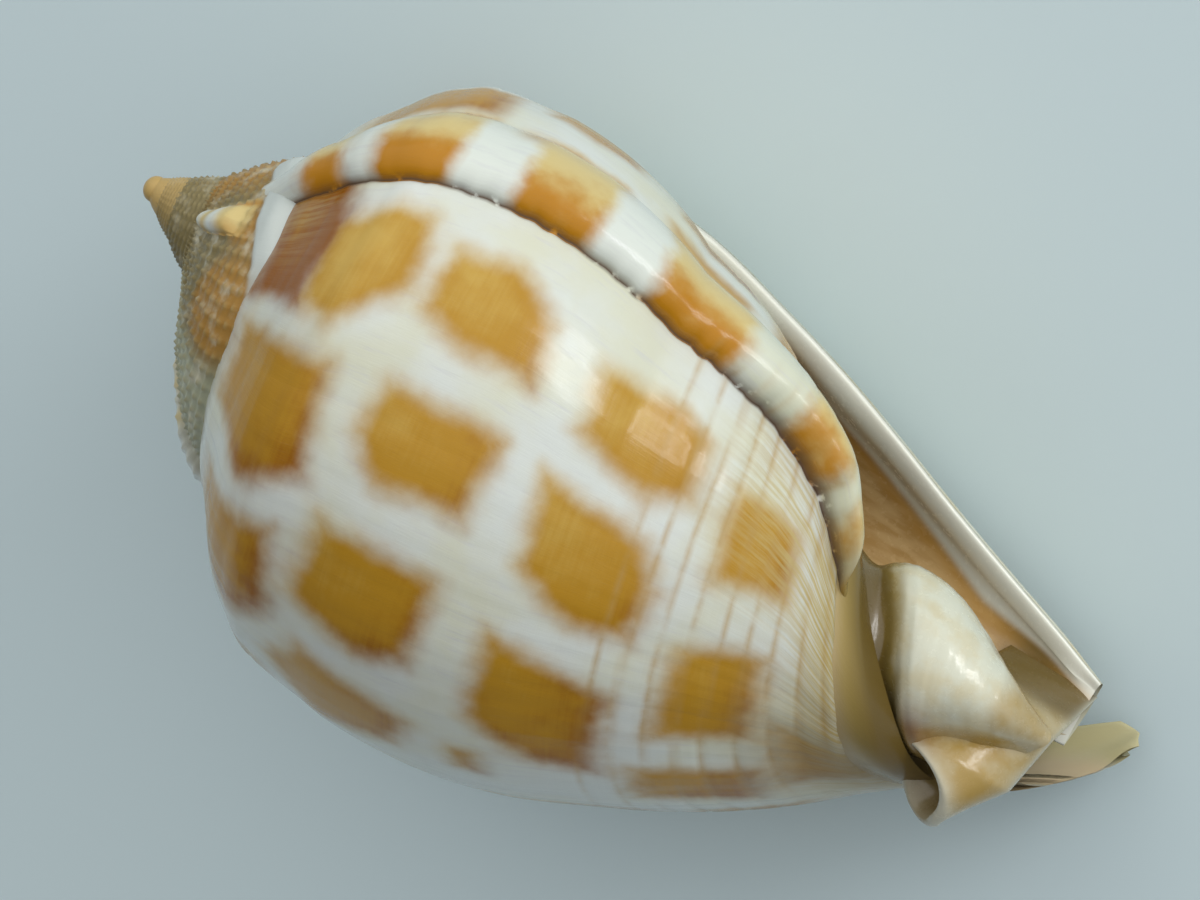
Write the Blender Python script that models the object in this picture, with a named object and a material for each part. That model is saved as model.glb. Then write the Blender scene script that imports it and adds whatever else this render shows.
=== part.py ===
"""Checkerboard bonnet shell, resting on the rim of its opening.

The shell is worked out in its own frame, in millimetres: the apex is the origin, the
coiling axis runs along -Z from the apex to the front end, and +X points out of the
back of the last whorl.  Growth angle grows from the right side (-90), over the back
(0), to the left side (90) and on to the outer lip.  At the end the shell is turned
into its resting pose and set on the plane z = 0, in metres.
"""
import bpy
import bmesh
import math
import numpy as np
from mathutils import Matrix, Vector

MM = 0.001

# Spiral growth
GROWTH_PER_TURN = 1.652
FIRST_STAGE = -1620.0
LIP_STAGE = 151.0
EARLY_UNTIL = -515.0
LATE_FROM = -345.0
RIGHT_SIDE_DIP = 0.022
RIGHT_SIDE_STAGE = -95.0
RIGHT_SIDE_SPREAD = 55.0

# Whorl outline at growth angle 90, as (radius, depth below the apex)
LATE_OUTLINE = [
    (1.2, 7.4), (3.7, 8.6), (6.1, 9.8), (8.6, 11.2), (11.0, 12.5), (13.3, 13.6),
    (14.8, 14.6), (15.8, 15.5), (17.4, 16.7), (19.0, 18.0), (20.2, 19.5), (21.2, 21.1),
    (21.7, 23.4), (22.0, 25.8), (22.3, 28.2), (22.1, 32.2), (21.4, 36.0), (20.2, 39.7),
    (18.4, 43.4), (16.5, 47.0), (14.4, 50.3), (12.0, 53.4), (9.5, 55.9), (7.7, 57.9),
    (6.8, 59.6), (5.6, 61.4),
]
EARLY_OUTLINE = [
    (1.2, 7.4), (3.7, 8.6), (6.1, 9.8), (6.9, 10.9), (7.8, 12.1), (8.6, 13.3),
    (9.3, 14.6), (9.8, 15.5), (10.2, 16.4), (10.5, 17.4), (10.8, 18.5), (10.9, 19.6),
    (10.9, 21.1), (10.8, 22.9), (10.5, 24.8), (9.9, 27.3), (9.0, 29.8), (7.8, 32.2),
    (6.5, 34.7), (5.6, 37.2), (5.0, 39.7), (4.3, 42.8), (3.7, 45.9), (3.1, 49.0),
    (2.6, 52.1), (2.2, 54.6),
]
APEX_RADIUS = 0.85
APEX_DEPTH = 1.25

# The growing edge trails or leads by this angle at each depth of the outline
EDGE_DEPTH = [9.3, 12.4, 14.3, 16.6, 19.5, 23.4, 27.7, 33.0, 50.0, 52.5, 54.6, 55.7, 57.1, 58.6,
              60.0, 61.1, 62.3]
EDGE_ANGLE = [18.0, 15.5, 12.5, 9.0, 7.0, 3.4, 1.8, 0.5, 0.0, 1.5, 5.0, 9.0, 18.0, 29.0,
              39.0, 46.0, 52.0]

# Thick ribs left by earlier lips, as (stage of the sharp edge, width in degrees, height)
VARICES = [(-34.0, 23.0, 1.75), (-265.0, 15.0, 1.8), (-370.0, 15.5, 1.5)]
LIP_RIB = (151.0, 17.0, 1.7)
RIB_DEPTH = [8.7, 10.5, 14.3, 26.0, 43.4, 50.0, 54.0, 57.0, 59.5]
RIB_FACTOR = [0.35, 0.75, 1.0, 1.0, 1.25, 1.8, 2.1, 1.7, 0.8]
LIP_FACTOR = [0.8, 1.0, 1.0, 1.0, 0.9, 0.7, 0.6, 0.5, 0.3]

# A rib is steepest near its sharp edge: where along its width it peaks, and how blunt it is
RIB_PEAK_POWER = 0.62
RIB_BLUNT_POWER = 0.75

# The front of the whorls is shorter beyond this depth, and full length past these angles
END_SHORTENING = 0.09
END_FROM_DEPTH = 49.6
FULL_LENGTH_ANGLES = (-10.0, 50.0)

# The front part of the older whorls is fuller by this much
FULL_DEPTH = [42.0, 45.7, 49.2, 52.2, 54.8, 57.5, 59.8, 62.0]
FULLNESS = [0.0, 0.9, 1.5, 2.0, 2.5, 2.7, 2.4, 0.8]
FULLER_FROM = (-300.0, -200.0)
FULLER_UNTIL = (-25.0, 75.0)

# Hollow of the last whorl at growth angle 90
HOLLOW_OUTER = [
    (15.3, 16.6), (17.8, 17.6), (19.7, 19.6), (20.7, 22.0), (21.0, 25.0), (21.0, 28.2),
    (20.7, 32.2), (19.9, 36.2), (18.6, 40.0), (16.8, 43.7), (14.9, 47.0), (12.6, 50.0),
    (10.0, 52.8), (7.6, 55.0), (5.8, 56.6), (4.7, 57.8),
]
HOLLOW_INNER = [
    (3.6, 58.0), (3.8, 52.6), (4.5, 43.4), (5.4, 38.4), (7.5, 34.7), (9.9, 31.0),
    (12.6, 24.8), (14.1, 20.2), (14.6, 17.6),
]
HOLLOW_FROM = -170.0
HOLLOW_OPENS = (-190.0, -110.0)
HOLLOW_PAST_LIP = 14.0

# The lip thickens inward and is toothed, fading out over these lengths at its two ends
LIP_INWARD = 1.5
LIP_INWARD_FROM = 136.0
LIP_INWARD_FULL = 149.0
LIP_FADE_BACK = (1.0, 5.0)
LIP_FADE_FRONT = (6.0, 2.0)
TOOTH_HEIGHT = 0.55
TOOTH_PITCH = 2.3

# Neck below the whorls, as outlines (radius, depth) at growth angles
NECK = {
    -150: [(4.3, 43.4), (3.6, 46.6), (3.0, 49.4), (2.8, 51.4), (3.1, 53.4), (3.3, 56.5), (2.9, 61.0),
           (2.3, 64.0), (1.2, 65.7)],
    -100: [(5.0, 45.9), (4.0, 48.4), (3.2, 50.2), (3.0, 51.6), (3.8, 52.8), (4.5, 55.0), (4.0, 58.5),
           (2.6, 61.8), (1.1, 64.2)],
    -50: [(6.7, 46.5), (5.6, 49.2), (4.5, 51.0), (4.2, 52.1), (5.0, 53.0), (5.7, 54.8), (5.6, 58.0),
          (3.6, 61.8), (1.4, 64.5)],
    0: [(7.8, 48.4), (6.6, 50.9), (5.2, 53.1), (4.8, 54.6), (5.6, 55.6), (6.5, 57.2), (6.5, 60.0),
        (5.2, 63.4), (2.2, 66.2)],
    40: [(8.7, 51.5), (7.3, 53.6), (5.8, 55.5), (5.1, 56.9), (5.8, 57.9), (6.0, 59.0), (4.9, 60.6),
         (4.0, 63.0), (2.4, 65.4)],
    80: [(9.3, 54.6), (7.8, 56.5), (6.3, 58.3), (5.5, 59.3), (5.3, 60.0), (5.0, 60.8), (4.2, 62.0),
         (3.4, 63.6), (2.0, 64.8)],
    110: [(9.3, 55.8), (7.8, 57.2), (6.2, 58.4), (5.3, 59.2), (5.0, 59.8), (4.6, 60.8), (4.1, 62.5),
          (3.3, 64.2), (2.2, 65.5)],
}

# Siphon canal: an oval tube along -Y, as values at these positions along Y
CANAL_Y = [-7.8, -6.2, -4.1, 0.0, 3.6]
CANAL_DEPTH = [60.5, 61.1, 61.9, 62.6, 63.9]
CANAL_HALF_LONG = [2.7, 3.1, 3.8, 3.7, 3.1]
CANAL_X = [2.1, 2.0, 1.5, -0.4, -2.8]
CANAL_HALF_DEEP = [2.5, 2.5, 2.6, 2.5, 1.4]
CANAL_END_Y = -6.3
CANAL_END_SLANT = (-1.5, 1.1)

# Hollow of the canal, from the opening of the shell round to the notch:
# (x, y, depth, half size along the depth, half size across)
CANAL_HOLLOW = [
    (-7.5, -2.6, 61.6, 2.2, 0.9), (-4.6, -1.6, 63.2, 2.4, 1.0), (-1.9, -1.6, 63.5, 2.6, 1.3),
    (0.2, -3.0, 62.9, 2.7, 1.6), (1.3, -5.4, 61.7, 2.3, 1.7), (1.9, -9.2, 60.4, 2.0, 1.7),
]

# Shield over the columella: depth, then (x, y) from its free edge to the opening
SHIELD = [
    (16.5, [(-4.6, 12.6), (-8.2, 9.8), (-11.0, 5.6), (-12.2, 1.8), (-12.0, -1.1)]),
    (20.5, [(-5.9, 15.9), (-10.5, 12.4), (-13.8, 7.0), (-15.3, 2.2), (-15.0, -1.4)]),
    (26.0, [(-5.0, 15.9), (-9.9, 12.4), (-13.6, 6.9), (-14.9, 2.3), (-14.3, -1.4)]),
    (32.2, [(-3.7, 15.4), (-9.0, 12.1), (-12.3, 6.7), (-13.1, 2.1), (-12.3, -1.7)]),
    (38.4, [(-3.1, 13.9), (-8.1, 11.4), (-10.7, 6.4), (-11.0, 2.1), (-9.9, -1.7)]),
    (43.4, [(-3.1, 12.5), (-7.3, 10.3), (-9.2, 6.1), (-9.2, 2.1), (-7.8, -1.5)]),
    (48.4, [(-3.1, 10.8), (-6.4, 9.3), (-7.9, 5.8), (-7.6, 2.1), (-6.2, -1.2)]),
    (53.3, [(-3.2, 9.0), (-5.9, 7.9), (-6.9, 5.1), (-6.5, 2.0), (-5.2, -0.8)]),
    (58.3, [(-3.4, 7.3), (-5.3, 6.5), (-6.1, 4.4), (-5.7, 1.9), (-4.6, -0.6)]),
    (63.2, [(-3.6, 5.7), (-5.0, 5.1), (-5.5, 3.5), (-5.1, 1.6), (-4.3, -0.3)]),
    (66.8, [(-3.8, 4.4), (-4.4, 3.9), (-4.6, 2.6), (-4.5, 1.2), (-4.2, 0.0)]),
]
SHIELD_THICKNESS = 1.0

# Resting pose: growth angle that faces up, rise of the apex, depth worn flat where it stands
UP_ANGLE = 24.5
APEX_RISE = 7.0
WORN_DEPTH = 0.35

# Points along and around each surface
CURVE_FINENESS = 24
WHORL_POINTS = (560, 96)
APEX_POINTS = (11, 24)
APEX_POLE_GAP = 0.12
APEX_FLATNESS = 0.9
NECK_POINTS = (60, 34)
NECK_MM_PER_DEGREE = 0.12
CANAL_POINTS = (26, 40)
CANAL_HOLLOW_POINTS = (40, 32)
SHIELD_POINTS = (48, 22)
HOLLOW_COLUMNS = 190
HOLLOW_OUTER_ROWS = 70
HOLLOW_INNER_ROWS = 34

# Fineness of the closed surface, in millimetres, and of the finished one, in triangles
VOXEL = 0.36
FINE_VOXEL = 0.3
TRIANGLES = 9600
WELD_METRES = 1e-7
TINY = 1e-9
SHARP_DEGREES = 40.0

CREAM = (0.62, 0.57, 0.48, 1.0)
GLOSS_ROUGHNESS = 0.28


def spline(points, count):
    """A smooth curve through the points, at evenly spaced places along its length."""
    p = np.asarray(points, float)
    knots = np.r_[0.0, np.cumsum(np.sqrt(np.linalg.norm(np.diff(p, axis=0), axis=1)))]
    slope = np.zeros_like(p)
    slope[1:-1] = (p[2:] - p[:-2]) / (knots[2:] - knots[:-2])[:, None]
    slope[0] = (p[1] - p[0]) / (knots[1] - knots[0])
    slope[-1] = (p[-1] - p[-2]) / (knots[-1] - knots[-2])
    at = np.linspace(0.0, knots[-1], CURVE_FINENESS * count)
    k = np.clip(np.searchsorted(knots, at, side="right") - 1, 0, len(p) - 2)
    gap = (knots[k + 1] - knots[k])[:, None]
    x = (at - knots[k])[:, None] / gap
    curve = ((2 * x ** 3 - 3 * x ** 2 + 1) * p[k] + (x ** 3 - 2 * x ** 2 + x) * gap * slope[k]
             + (-2 * x ** 3 + 3 * x ** 2) * p[k + 1] + (x ** 3 - x ** 2) * gap * slope[k + 1])
    length = np.r_[0.0, np.cumsum(np.linalg.norm(np.diff(curve, axis=0), axis=1))]
    even = np.linspace(0.0, length[-1], count)
    return np.stack([np.interp(even, length, curve[:, i]) for i in range(p.shape[1])], 1)


def ease(value, start, end):
    """0 before the start, 1 after the end, smooth between."""
    x = np.clip((np.asarray(value, float) - start) / (end - start), 0.0, 1.0)
    return x * x * (3.0 - 2.0 * x)


def scale_at(angle):
    """Size of the shell at a growth angle, 1 at 90 degrees."""
    angle = np.asarray(angle, float)
    dip = np.exp(-((angle - RIGHT_SIDE_STAGE) / RIGHT_SIDE_SPREAD) ** 2)
    return GROWTH_PER_TURN ** ((angle - 90.0) / 360.0), 1.0 - RIGHT_SIDE_DIP * dip


def place(angle, radius, depth):
    """Shell frame position of points given by growth angle, radius and depth."""
    turn = np.radians(angle)
    return np.stack([radius * np.cos(turn), -radius * np.sin(turn), -depth], -1)


def rib(behind, width):
    """Cross shape of a thick rib: steep at its edge, falling off behind it."""
    x = np.clip(behind / width, 0.0, 1.0)
    shape = np.sin(math.pi * x ** RIB_PEAK_POWER) ** RIB_BLUNT_POWER
    return shape * (behind > 0) * (behind < width)


def whorl_outlines(stages, count):
    """Angle, radius and depth of the whorl surface for each growth stage."""
    stages = np.asarray(stages, float)
    share = ease(stages, EARLY_UNTIL, LATE_FROM)[:, None, None]
    outline = ((1.0 - share) * spline(EARLY_OUTLINE, count)[None]
               + share * spline(LATE_OUTLINE, count)[None])
    depth = outline[..., 1]
    angle = stages[:, None] + np.interp(depth, EDGE_DEPTH, EDGE_ANGLE)
    across = np.gradient(outline, axis=1)
    size = np.hypot(across[..., 0], across[..., 1]) + TINY
    normal = np.stack([across[..., 1] / size, -across[..., 0] / size], -1)
    lift = np.zeros_like(depth)
    for edge, width, height in VARICES:
        lift += height * rib(edge - stages, width)[:, None] * np.interp(depth, RIB_DEPTH, RIB_FACTOR)
    edge, width, height = LIP_RIB
    lift += height * rib(edge - stages, width)[:, None] * np.interp(depth, RIB_DEPTH, LIP_FACTOR)
    older = (1.0 - ease(stages, *FULLER_UNTIL)) * ease(stages, *FULLER_FROM)
    lift += older[:, None] * np.interp(depth, FULL_DEPTH, FULLNESS)
    raised = outline + normal * lift[..., None]
    short = 1.0 - END_SHORTENING * (1.0 - ease(angle, *FULL_LENGTH_ANGLES))
    low = raised[..., 1]
    low = np.where(low > END_FROM_DEPTH, END_FROM_DEPTH + (low - END_FROM_DEPTH) * short, low)
    size, dip = scale_at(angle)
    return angle, raised[..., 0] * size * dip, low * size


def mesh_object(name, points, faces):
    """An object in the scene with a mesh of the points and faces."""
    mesh = bpy.data.meshes.new(name)
    mesh.from_pydata([tuple(p) for p in points], [], faces)
    made = bpy.data.objects.new(name, mesh)
    bpy.context.scene.collection.objects.link(made)
    return made


def tube_object(name, loops):
    """A closed solid through loops of points, with a fan of faces over each end."""
    rows, around, _ = loops.shape
    points = list(loops.reshape(-1, 3))
    faces = []
    for i in range(rows - 1):
        for j in range(around):
            k = (j + 1) % around
            faces.append((i * around + j, i * around + k, (i + 1) * around + k, (i + 1) * around + j))
    for row, flip in ((0, True), (rows - 1, False)):
        centre = len(points)
        points.append(loops[row].mean(axis=0))
        for j in range(around):
            edge = (row * around + j, row * around + (j + 1) % around)
            faces.append((edge[1], edge[0], centre) if flip else (edge[0], edge[1], centre))
    made = mesh_object(name, points, faces)
    shell = bmesh.new()
    shell.from_mesh(made.data)
    bmesh.ops.recalc_face_normals(shell, faces=shell.faces)
    if shell.calc_volume(signed=True) < 0:
        bmesh.ops.reverse_faces(shell, faces=shell.faces)
    shell.to_mesh(made.data)
    shell.free()
    return made


def whorls():
    """The coiled whorls as a solid reaching in to the coiling axis."""
    columns, rows = WHORL_POINTS
    stages = np.linspace(FIRST_STAGE, LIP_STAGE, columns)
    angle, radius, depth = whorl_outlines(stages, rows)
    axis = np.zeros((len(stages), 1))
    angle = np.concatenate([angle, angle[:, -1:], angle[:, :1]], axis=1)
    radius = np.concatenate([radius, axis, axis], axis=1)
    depth = np.concatenate([depth, depth[:, -1:], depth[:, :1]], axis=1)
    return tube_object("whorls", place(angle, radius, depth))


def apex_knob():
    """The smooth round first whorl at the tip."""
    rings, around = APEX_POINTS
    turn = np.linspace(0.0, 2.0 * math.pi, around, endpoint=False)
    loops = []
    for rise in np.linspace(APEX_POLE_GAP, math.pi - APEX_POLE_GAP, rings):
        ring = APEX_RADIUS * math.sin(rise)
        level = -APEX_DEPTH + APEX_FLATNESS * APEX_RADIUS * math.cos(rise)
        loops.append(np.stack([ring * np.cos(turn), ring * np.sin(turn), 0.0 * turn + level], -1))
    return tube_object("apex", np.array(loops))


def neck():
    """Neck with the fasciole ridge, as a wedge reaching in to the coiling axis."""
    along, across = NECK_POINTS
    outlines = np.stack([np.c_[np.full(across, a * NECK_MM_PER_DEGREE), spline(NECK[a], across)]
                         for a in sorted(NECK)])
    blend = np.stack([spline(outlines[:, j], along) for j in range(across)], axis=1)
    angle, radius, depth = blend[..., 0] / NECK_MM_PER_DEGREE, blend[..., 1], blend[..., 2]
    axis = np.zeros((along, 1))
    angle = np.concatenate([angle, angle[:, -1:], angle[:, :1]], axis=1)
    radius = np.concatenate([radius, axis, axis], axis=1)
    depth = np.concatenate([depth, depth[:, -1:], depth[:, :1]], axis=1)
    return tube_object("neck", place(angle, radius, depth))


def canal():
    """Outer shape of the canal, an oval tube with a slanting open end."""
    rings, around = CANAL_POINTS
    turn = np.linspace(0.0, 2.0 * math.pi, around, endpoint=False)[None]
    along = np.linspace(0.0, 1.0, rings)[:, None]
    slant = CANAL_END_SLANT[0] * np.cos(turn) + CANAL_END_SLANT[1] * np.sin(turn)
    y = CANAL_Y[-1] + (CANAL_END_Y + slant - CANAL_Y[-1]) * along
    depth = np.interp(y, CANAL_Y, CANAL_DEPTH)
    half_long = np.interp(y, CANAL_Y, CANAL_HALF_LONG)
    x = np.interp(y, CANAL_Y, CANAL_X)
    half_deep = np.interp(y, CANAL_Y, CANAL_HALF_DEEP)
    loops = np.stack([x + half_deep * np.sin(turn), y, -(depth + half_long * np.cos(turn))], -1)
    return tube_object("canal", loops)


def canal_hollow():
    """Hollow of the canal, an oval tube that bends from the opening to the notch."""
    rings, around = CANAL_HOLLOW_POINTS
    path = spline(CANAL_HOLLOW, rings)
    ahead = np.gradient(path[:, :2], axis=0)
    ahead /= np.linalg.norm(ahead, axis=1, keepdims=True)
    turn = np.linspace(0.0, 2.0 * math.pi, around, endpoint=False)[None]
    across = path[:, 4:5] * np.sin(turn)
    x = path[:, 0:1] - ahead[:, 1:2] * across
    y = path[:, 1:2] + ahead[:, 0:1] * across
    depth = path[:, 2:3] + path[:, 3:4] * np.cos(turn)
    return tube_object("canal_hollow", np.stack([x, y, -depth], -1))


def shield():
    """Shield over the columella, a slab of even thickness."""
    along, across = SHIELD_POINTS
    rows = np.stack([spline([(x, y, -depth) for x, y in edge], across) for depth, edge in SHIELD])
    middle = np.stack([spline(rows[:, j], along) for j in range(across)], axis=1)
    normal = np.cross(np.gradient(middle, axis=0), np.gradient(middle, axis=1))
    normal /= np.linalg.norm(normal, axis=-1, keepdims=True)
    half = normal * SHIELD_THICKNESS / 2.0
    return tube_object("shield", np.concatenate([middle + half, (middle - half)[:, ::-1]], axis=1))


def hollow():
    """The hollow of the last whorl, narrowed at the lip by a thick toothed edge."""
    stages = np.linspace(HOLLOW_FROM, LIP_STAGE + HOLLOW_PAST_LIP, HOLLOW_COLUMNS)
    outer = spline(HOLLOW_OUTER, HOLLOW_OUTER_ROWS)
    inner = spline(HOLLOW_INNER, HOLLOW_INNER_ROWS)
    across = np.gradient(outer, axis=0)
    size = np.hypot(across[:, 0], across[:, 1])
    normal = np.stack([across[:, 1] / size, -across[:, 0] / size], -1)
    length = np.r_[0.0, np.cumsum(np.hypot(*np.diff(outer, axis=0).T))]
    to_front = length[-1] - length
    fade = ease(length, *LIP_FADE_BACK) * (1.0 - ease(-to_front, -LIP_FADE_FRONT[0], -LIP_FADE_FRONT[1]))
    teeth = TOOTH_HEIGHT * (0.5 + 0.5 * np.cos(2.0 * math.pi * length / TOOTH_PITCH))
    near = ease(stages, LIP_INWARD_FROM, LIP_INWARD_FULL)[:, None]
    inward = near * fade * (LIP_INWARD + teeth)
    side = outer[None] - normal[None] * inward[..., None]
    loop = np.concatenate([side, np.repeat(inner[None], len(stages), 0)], axis=1)
    angle = stages[:, None] + np.interp(loop[..., 1], EDGE_DEPTH, EDGE_ANGLE)
    scale, dip = scale_at(angle)
    taper = ease(stages, *HOLLOW_OPENS)[:, None, None]
    middle = loop.mean(axis=1, keepdims=True)
    loop = middle + (loop - middle) * taper
    return tube_object("hollow", place(angle, loop[..., 0] * scale * dip, loop[..., 1] * scale))


def join(parts):
    """One mesh from several parts."""
    joined = bmesh.new()
    for part in parts:
        joined.from_mesh(part.data)
    mesh = bpy.data.meshes.new("joined")
    joined.to_mesh(mesh)
    joined.free()
    for part in parts:
        bpy.data.objects.remove(part)
    made = bpy.data.objects.new("joined", mesh)
    bpy.context.scene.collection.objects.link(made)
    return made


def applied(source):
    """The object with its modifiers made part of its mesh."""
    evaluated = source.evaluated_get(bpy.context.evaluated_depsgraph_get())
    mesh = bpy.data.meshes.new_from_object(evaluated)
    source.modifiers.clear()
    source.data = mesh
    return source


def fused(source, voxel):
    """The outside of overlapping solids as one closed surface."""
    change = source.modifiers.new("fuse", "REMESH")
    change.mode = "VOXEL"
    change.voxel_size = voxel
    return applied(source)


def keep_largest(source):
    """Drop crumbs that the cuts left loose, keeping the one large piece."""
    work = bmesh.new()
    work.from_mesh(source.data)
    unseen = set(work.verts)
    pieces = []
    while unseen:
        stack = [unseen.pop()]
        piece = []
        while stack:
            point = stack.pop()
            piece.append(point)
            for edge in point.link_edges:
                other = edge.other_vert(point)
                if other in unseen:
                    unseen.remove(other)
                    stack.append(other)
        pieces.append(piece)
    pieces.sort(key=len)
    for crumb in pieces[:-1]:
        bmesh.ops.delete(work, geom=crumb, context="VERTS")
    work.to_mesh(source.data)
    work.free()


def cut_away(source, cutter):
    """The object less the cutter, which is used up."""
    cut = source.modifiers.new("cut", "BOOLEAN")
    cut.operation = "DIFFERENCE"
    cut.solver = "EXACT"
    cut.object = cutter
    applied(source)
    bpy.data.objects.remove(cutter)


def resting_matrix():
    """Turn from the shell frame to the resting frame: Z up, X toward the front end."""
    turn = math.radians(UP_ANGLE)
    rise = math.radians(APEX_RISE)
    out = Vector((math.cos(turn), -math.sin(turn), 0.0))
    up = out * math.cos(rise) + Vector((0.0, 0.0, math.sin(rise)))
    front = out * math.sin(rise) - Vector((0.0, 0.0, math.cos(rise)))
    side = up.cross(front)
    return Matrix((front, side, up)).to_4x4()


def laid_down(body):
    """Turn the shell to rest, wear its lowest spots flat, and set it on z = 0."""
    work = bmesh.new()
    work.from_mesh(body.data)
    work.transform(Matrix.Scale(MM, 4) @ resting_matrix())
    floor = min(v.co.z for v in work.verts) + WORN_DEPTH * MM
    low = (min(v.co.x for v in work.verts), min(v.co.y for v in work.verts))
    high = (max(v.co.x for v in work.verts), max(v.co.y for v in work.verts))
    everything = list(work.verts) + list(work.edges) + list(work.faces)
    cut = bmesh.ops.bisect_plane(work, geom=everything, plane_co=(0.0, 0.0, floor),
                                 plane_no=(0.0, 0.0, 1.0), clear_inner=True, dist=WELD_METRES)
    rim = [e for e in cut["geom_cut"] if isinstance(e, bmesh.types.BMEdge)]
    bmesh.ops.holes_fill(work, edges=[e for e in rim if e.is_boundary], sides=0)
    middle = Vector(((low[0] + high[0]) / 2.0, (low[1] + high[1]) / 2.0, floor))
    bmesh.ops.translate(work, verts=work.verts, vec=-middle)
    bmesh.ops.triangulate(work, faces=work.faces)
    bmesh.ops.recalc_face_normals(work, faces=work.faces)
    work.to_mesh(body.data)
    work.free()


def main():
    for old in list(bpy.data.objects):
        bpy.data.objects.remove(old)
    body = fused(join([whorls(), apex_knob(), neck(), canal(), shield()]), VOXEL)
    cut_away(body, hollow())
    cut_away(body, canal_hollow())
    fused(body, FINE_VOXEL)
    keep_largest(body)
    thin = body.modifiers.new("thin", "DECIMATE")
    thin.ratio = TRIANGLES / (2.0 * len(body.data.polygons))
    applied(body)
    laid_down(body)
    body.name = "shell"
    body.data.name = "shell"
    body.data.shade_smooth()
    body.data.set_sharp_from_angle(angle=math.radians(SHARP_DEGREES))
    look = bpy.data.materials.new("glazed_shell")
    look.use_nodes = True
    finish = look.node_tree.nodes["Principled BSDF"]
    finish.inputs["Base Color"].default_value = CREAM
    finish.inputs["Roughness"].default_value = GLOSS_ROUGHNESS
    finish.inputs["Metallic"].default_value = 0.0
    body.data.materials.append(look)


main()
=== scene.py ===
import bpy
import math
import numpy as np
from mathutils import Matrix, Vector


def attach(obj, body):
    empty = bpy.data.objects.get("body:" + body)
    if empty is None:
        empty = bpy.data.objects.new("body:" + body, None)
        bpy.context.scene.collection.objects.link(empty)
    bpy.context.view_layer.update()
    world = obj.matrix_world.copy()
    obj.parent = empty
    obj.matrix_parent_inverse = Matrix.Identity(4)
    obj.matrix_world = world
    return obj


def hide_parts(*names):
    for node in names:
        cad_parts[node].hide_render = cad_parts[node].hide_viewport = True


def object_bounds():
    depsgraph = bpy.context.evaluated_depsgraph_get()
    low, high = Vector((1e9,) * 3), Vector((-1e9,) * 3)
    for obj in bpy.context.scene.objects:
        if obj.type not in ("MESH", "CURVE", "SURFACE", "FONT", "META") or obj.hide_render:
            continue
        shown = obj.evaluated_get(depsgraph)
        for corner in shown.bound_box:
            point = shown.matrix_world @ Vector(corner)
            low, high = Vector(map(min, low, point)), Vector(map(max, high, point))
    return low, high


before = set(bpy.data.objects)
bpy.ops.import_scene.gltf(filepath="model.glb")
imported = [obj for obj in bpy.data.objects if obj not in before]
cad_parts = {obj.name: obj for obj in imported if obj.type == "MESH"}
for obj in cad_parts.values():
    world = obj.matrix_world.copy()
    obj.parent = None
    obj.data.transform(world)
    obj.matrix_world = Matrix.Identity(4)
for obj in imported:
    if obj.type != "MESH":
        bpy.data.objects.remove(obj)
CAD_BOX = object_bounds()

MM = 0.001
TINY = 1e-9

# Spiral growth. Lengths are millimetres at growth angle 90, the apex is the origin and the axis runs
# along -Z. A stage is the growth angle of the edge that grew the shell at a place. The right side is
# a little narrower.
GROWTH_PER_TURN = 1.652
FIRST_STAGE = -1620.0
LIP_STAGE = 151.0
EARLY_UNTIL = -515.0
LATE_FROM = -345.0
RIGHT_SIDE_DIP = 0.022
RIGHT_SIDE_STAGE = -95.0
RIGHT_SIDE_SPREAD = 55.0

# Whorl outlines as (radius, depth below the apex), for the last whorl and for the early ones
LATE_OUTLINE = [
    (1.2, 7.4), (3.7, 8.6), (6.1, 9.8), (8.6, 11.2), (11.0, 12.5), (13.3, 13.6),
    (14.8, 14.6), (15.8, 15.5), (17.4, 16.7), (19.0, 18.0), (20.2, 19.5), (21.2, 21.1),
    (21.7, 23.4), (22.0, 25.8), (22.3, 28.2), (22.1, 32.2), (21.4, 36.0), (20.2, 39.7),
    (18.4, 43.4), (16.5, 47.0), (14.4, 50.3), (12.0, 53.4), (9.5, 55.9), (7.7, 57.9),
    (6.8, 59.6), (5.6, 61.4),
]
EARLY_OUTLINE = [
    (1.2, 7.4), (3.7, 8.6), (6.1, 9.8), (6.9, 10.9), (7.8, 12.1), (8.6, 13.3),
    (9.3, 14.6), (9.8, 15.5), (10.2, 16.4), (10.5, 17.4), (10.8, 18.5), (10.9, 19.6),
    (10.9, 21.1), (10.8, 22.9), (10.5, 24.8), (9.9, 27.3), (9.0, 29.8), (7.8, 32.2),
    (6.5, 34.7), (5.6, 37.2), (5.0, 39.7), (4.3, 42.8), (3.7, 45.9), (3.1, 49.0),
    (2.6, 52.1), (2.2, 54.6),
]

# The growing edge trails or leads by this angle at each depth of the outline
EDGE_DEPTH = [9.3, 12.4, 14.3, 16.6, 19.5, 23.4, 27.7, 33.0, 50.0, 52.5, 54.6, 55.7, 57.1, 58.6,
              60.0, 61.1, 62.3]
EDGE_ANGLE = [18.0, 15.5, 12.5, 9.0, 7.0, 3.4, 1.8, 0.5, 0.0, 1.5, 5.0, 9.0, 18.0, 29.0,
              39.0, 46.0, 52.0]

# Thick ribs left by earlier lips, as (stage of the sharp edge, width in degrees, height), how high they
# and the lip stand at each depth, where along its width a rib peaks, and how blunt it is
VARICES = [(-34.0, 23.0, 1.75), (-265.0, 15.0, 1.8), (-370.0, 15.5, 1.5)]
LIP_RIB = (151.0, 17.0, 1.7)
RIB_DEPTH = [8.7, 10.5, 14.3, 26.0, 43.4, 50.0, 54.0, 57.0, 59.5]
RIB_FACTOR = [0.35, 0.75, 1.0, 1.0, 1.25, 1.8, 2.1, 1.7, 0.8]
LIP_FACTOR = [0.8, 1.0, 1.0, 1.0, 0.95, 0.9, 0.8, 0.55, 0.35]
RIB_PEAK_POWER = 0.62
RIB_BLUNT_POWER = 0.75

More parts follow.
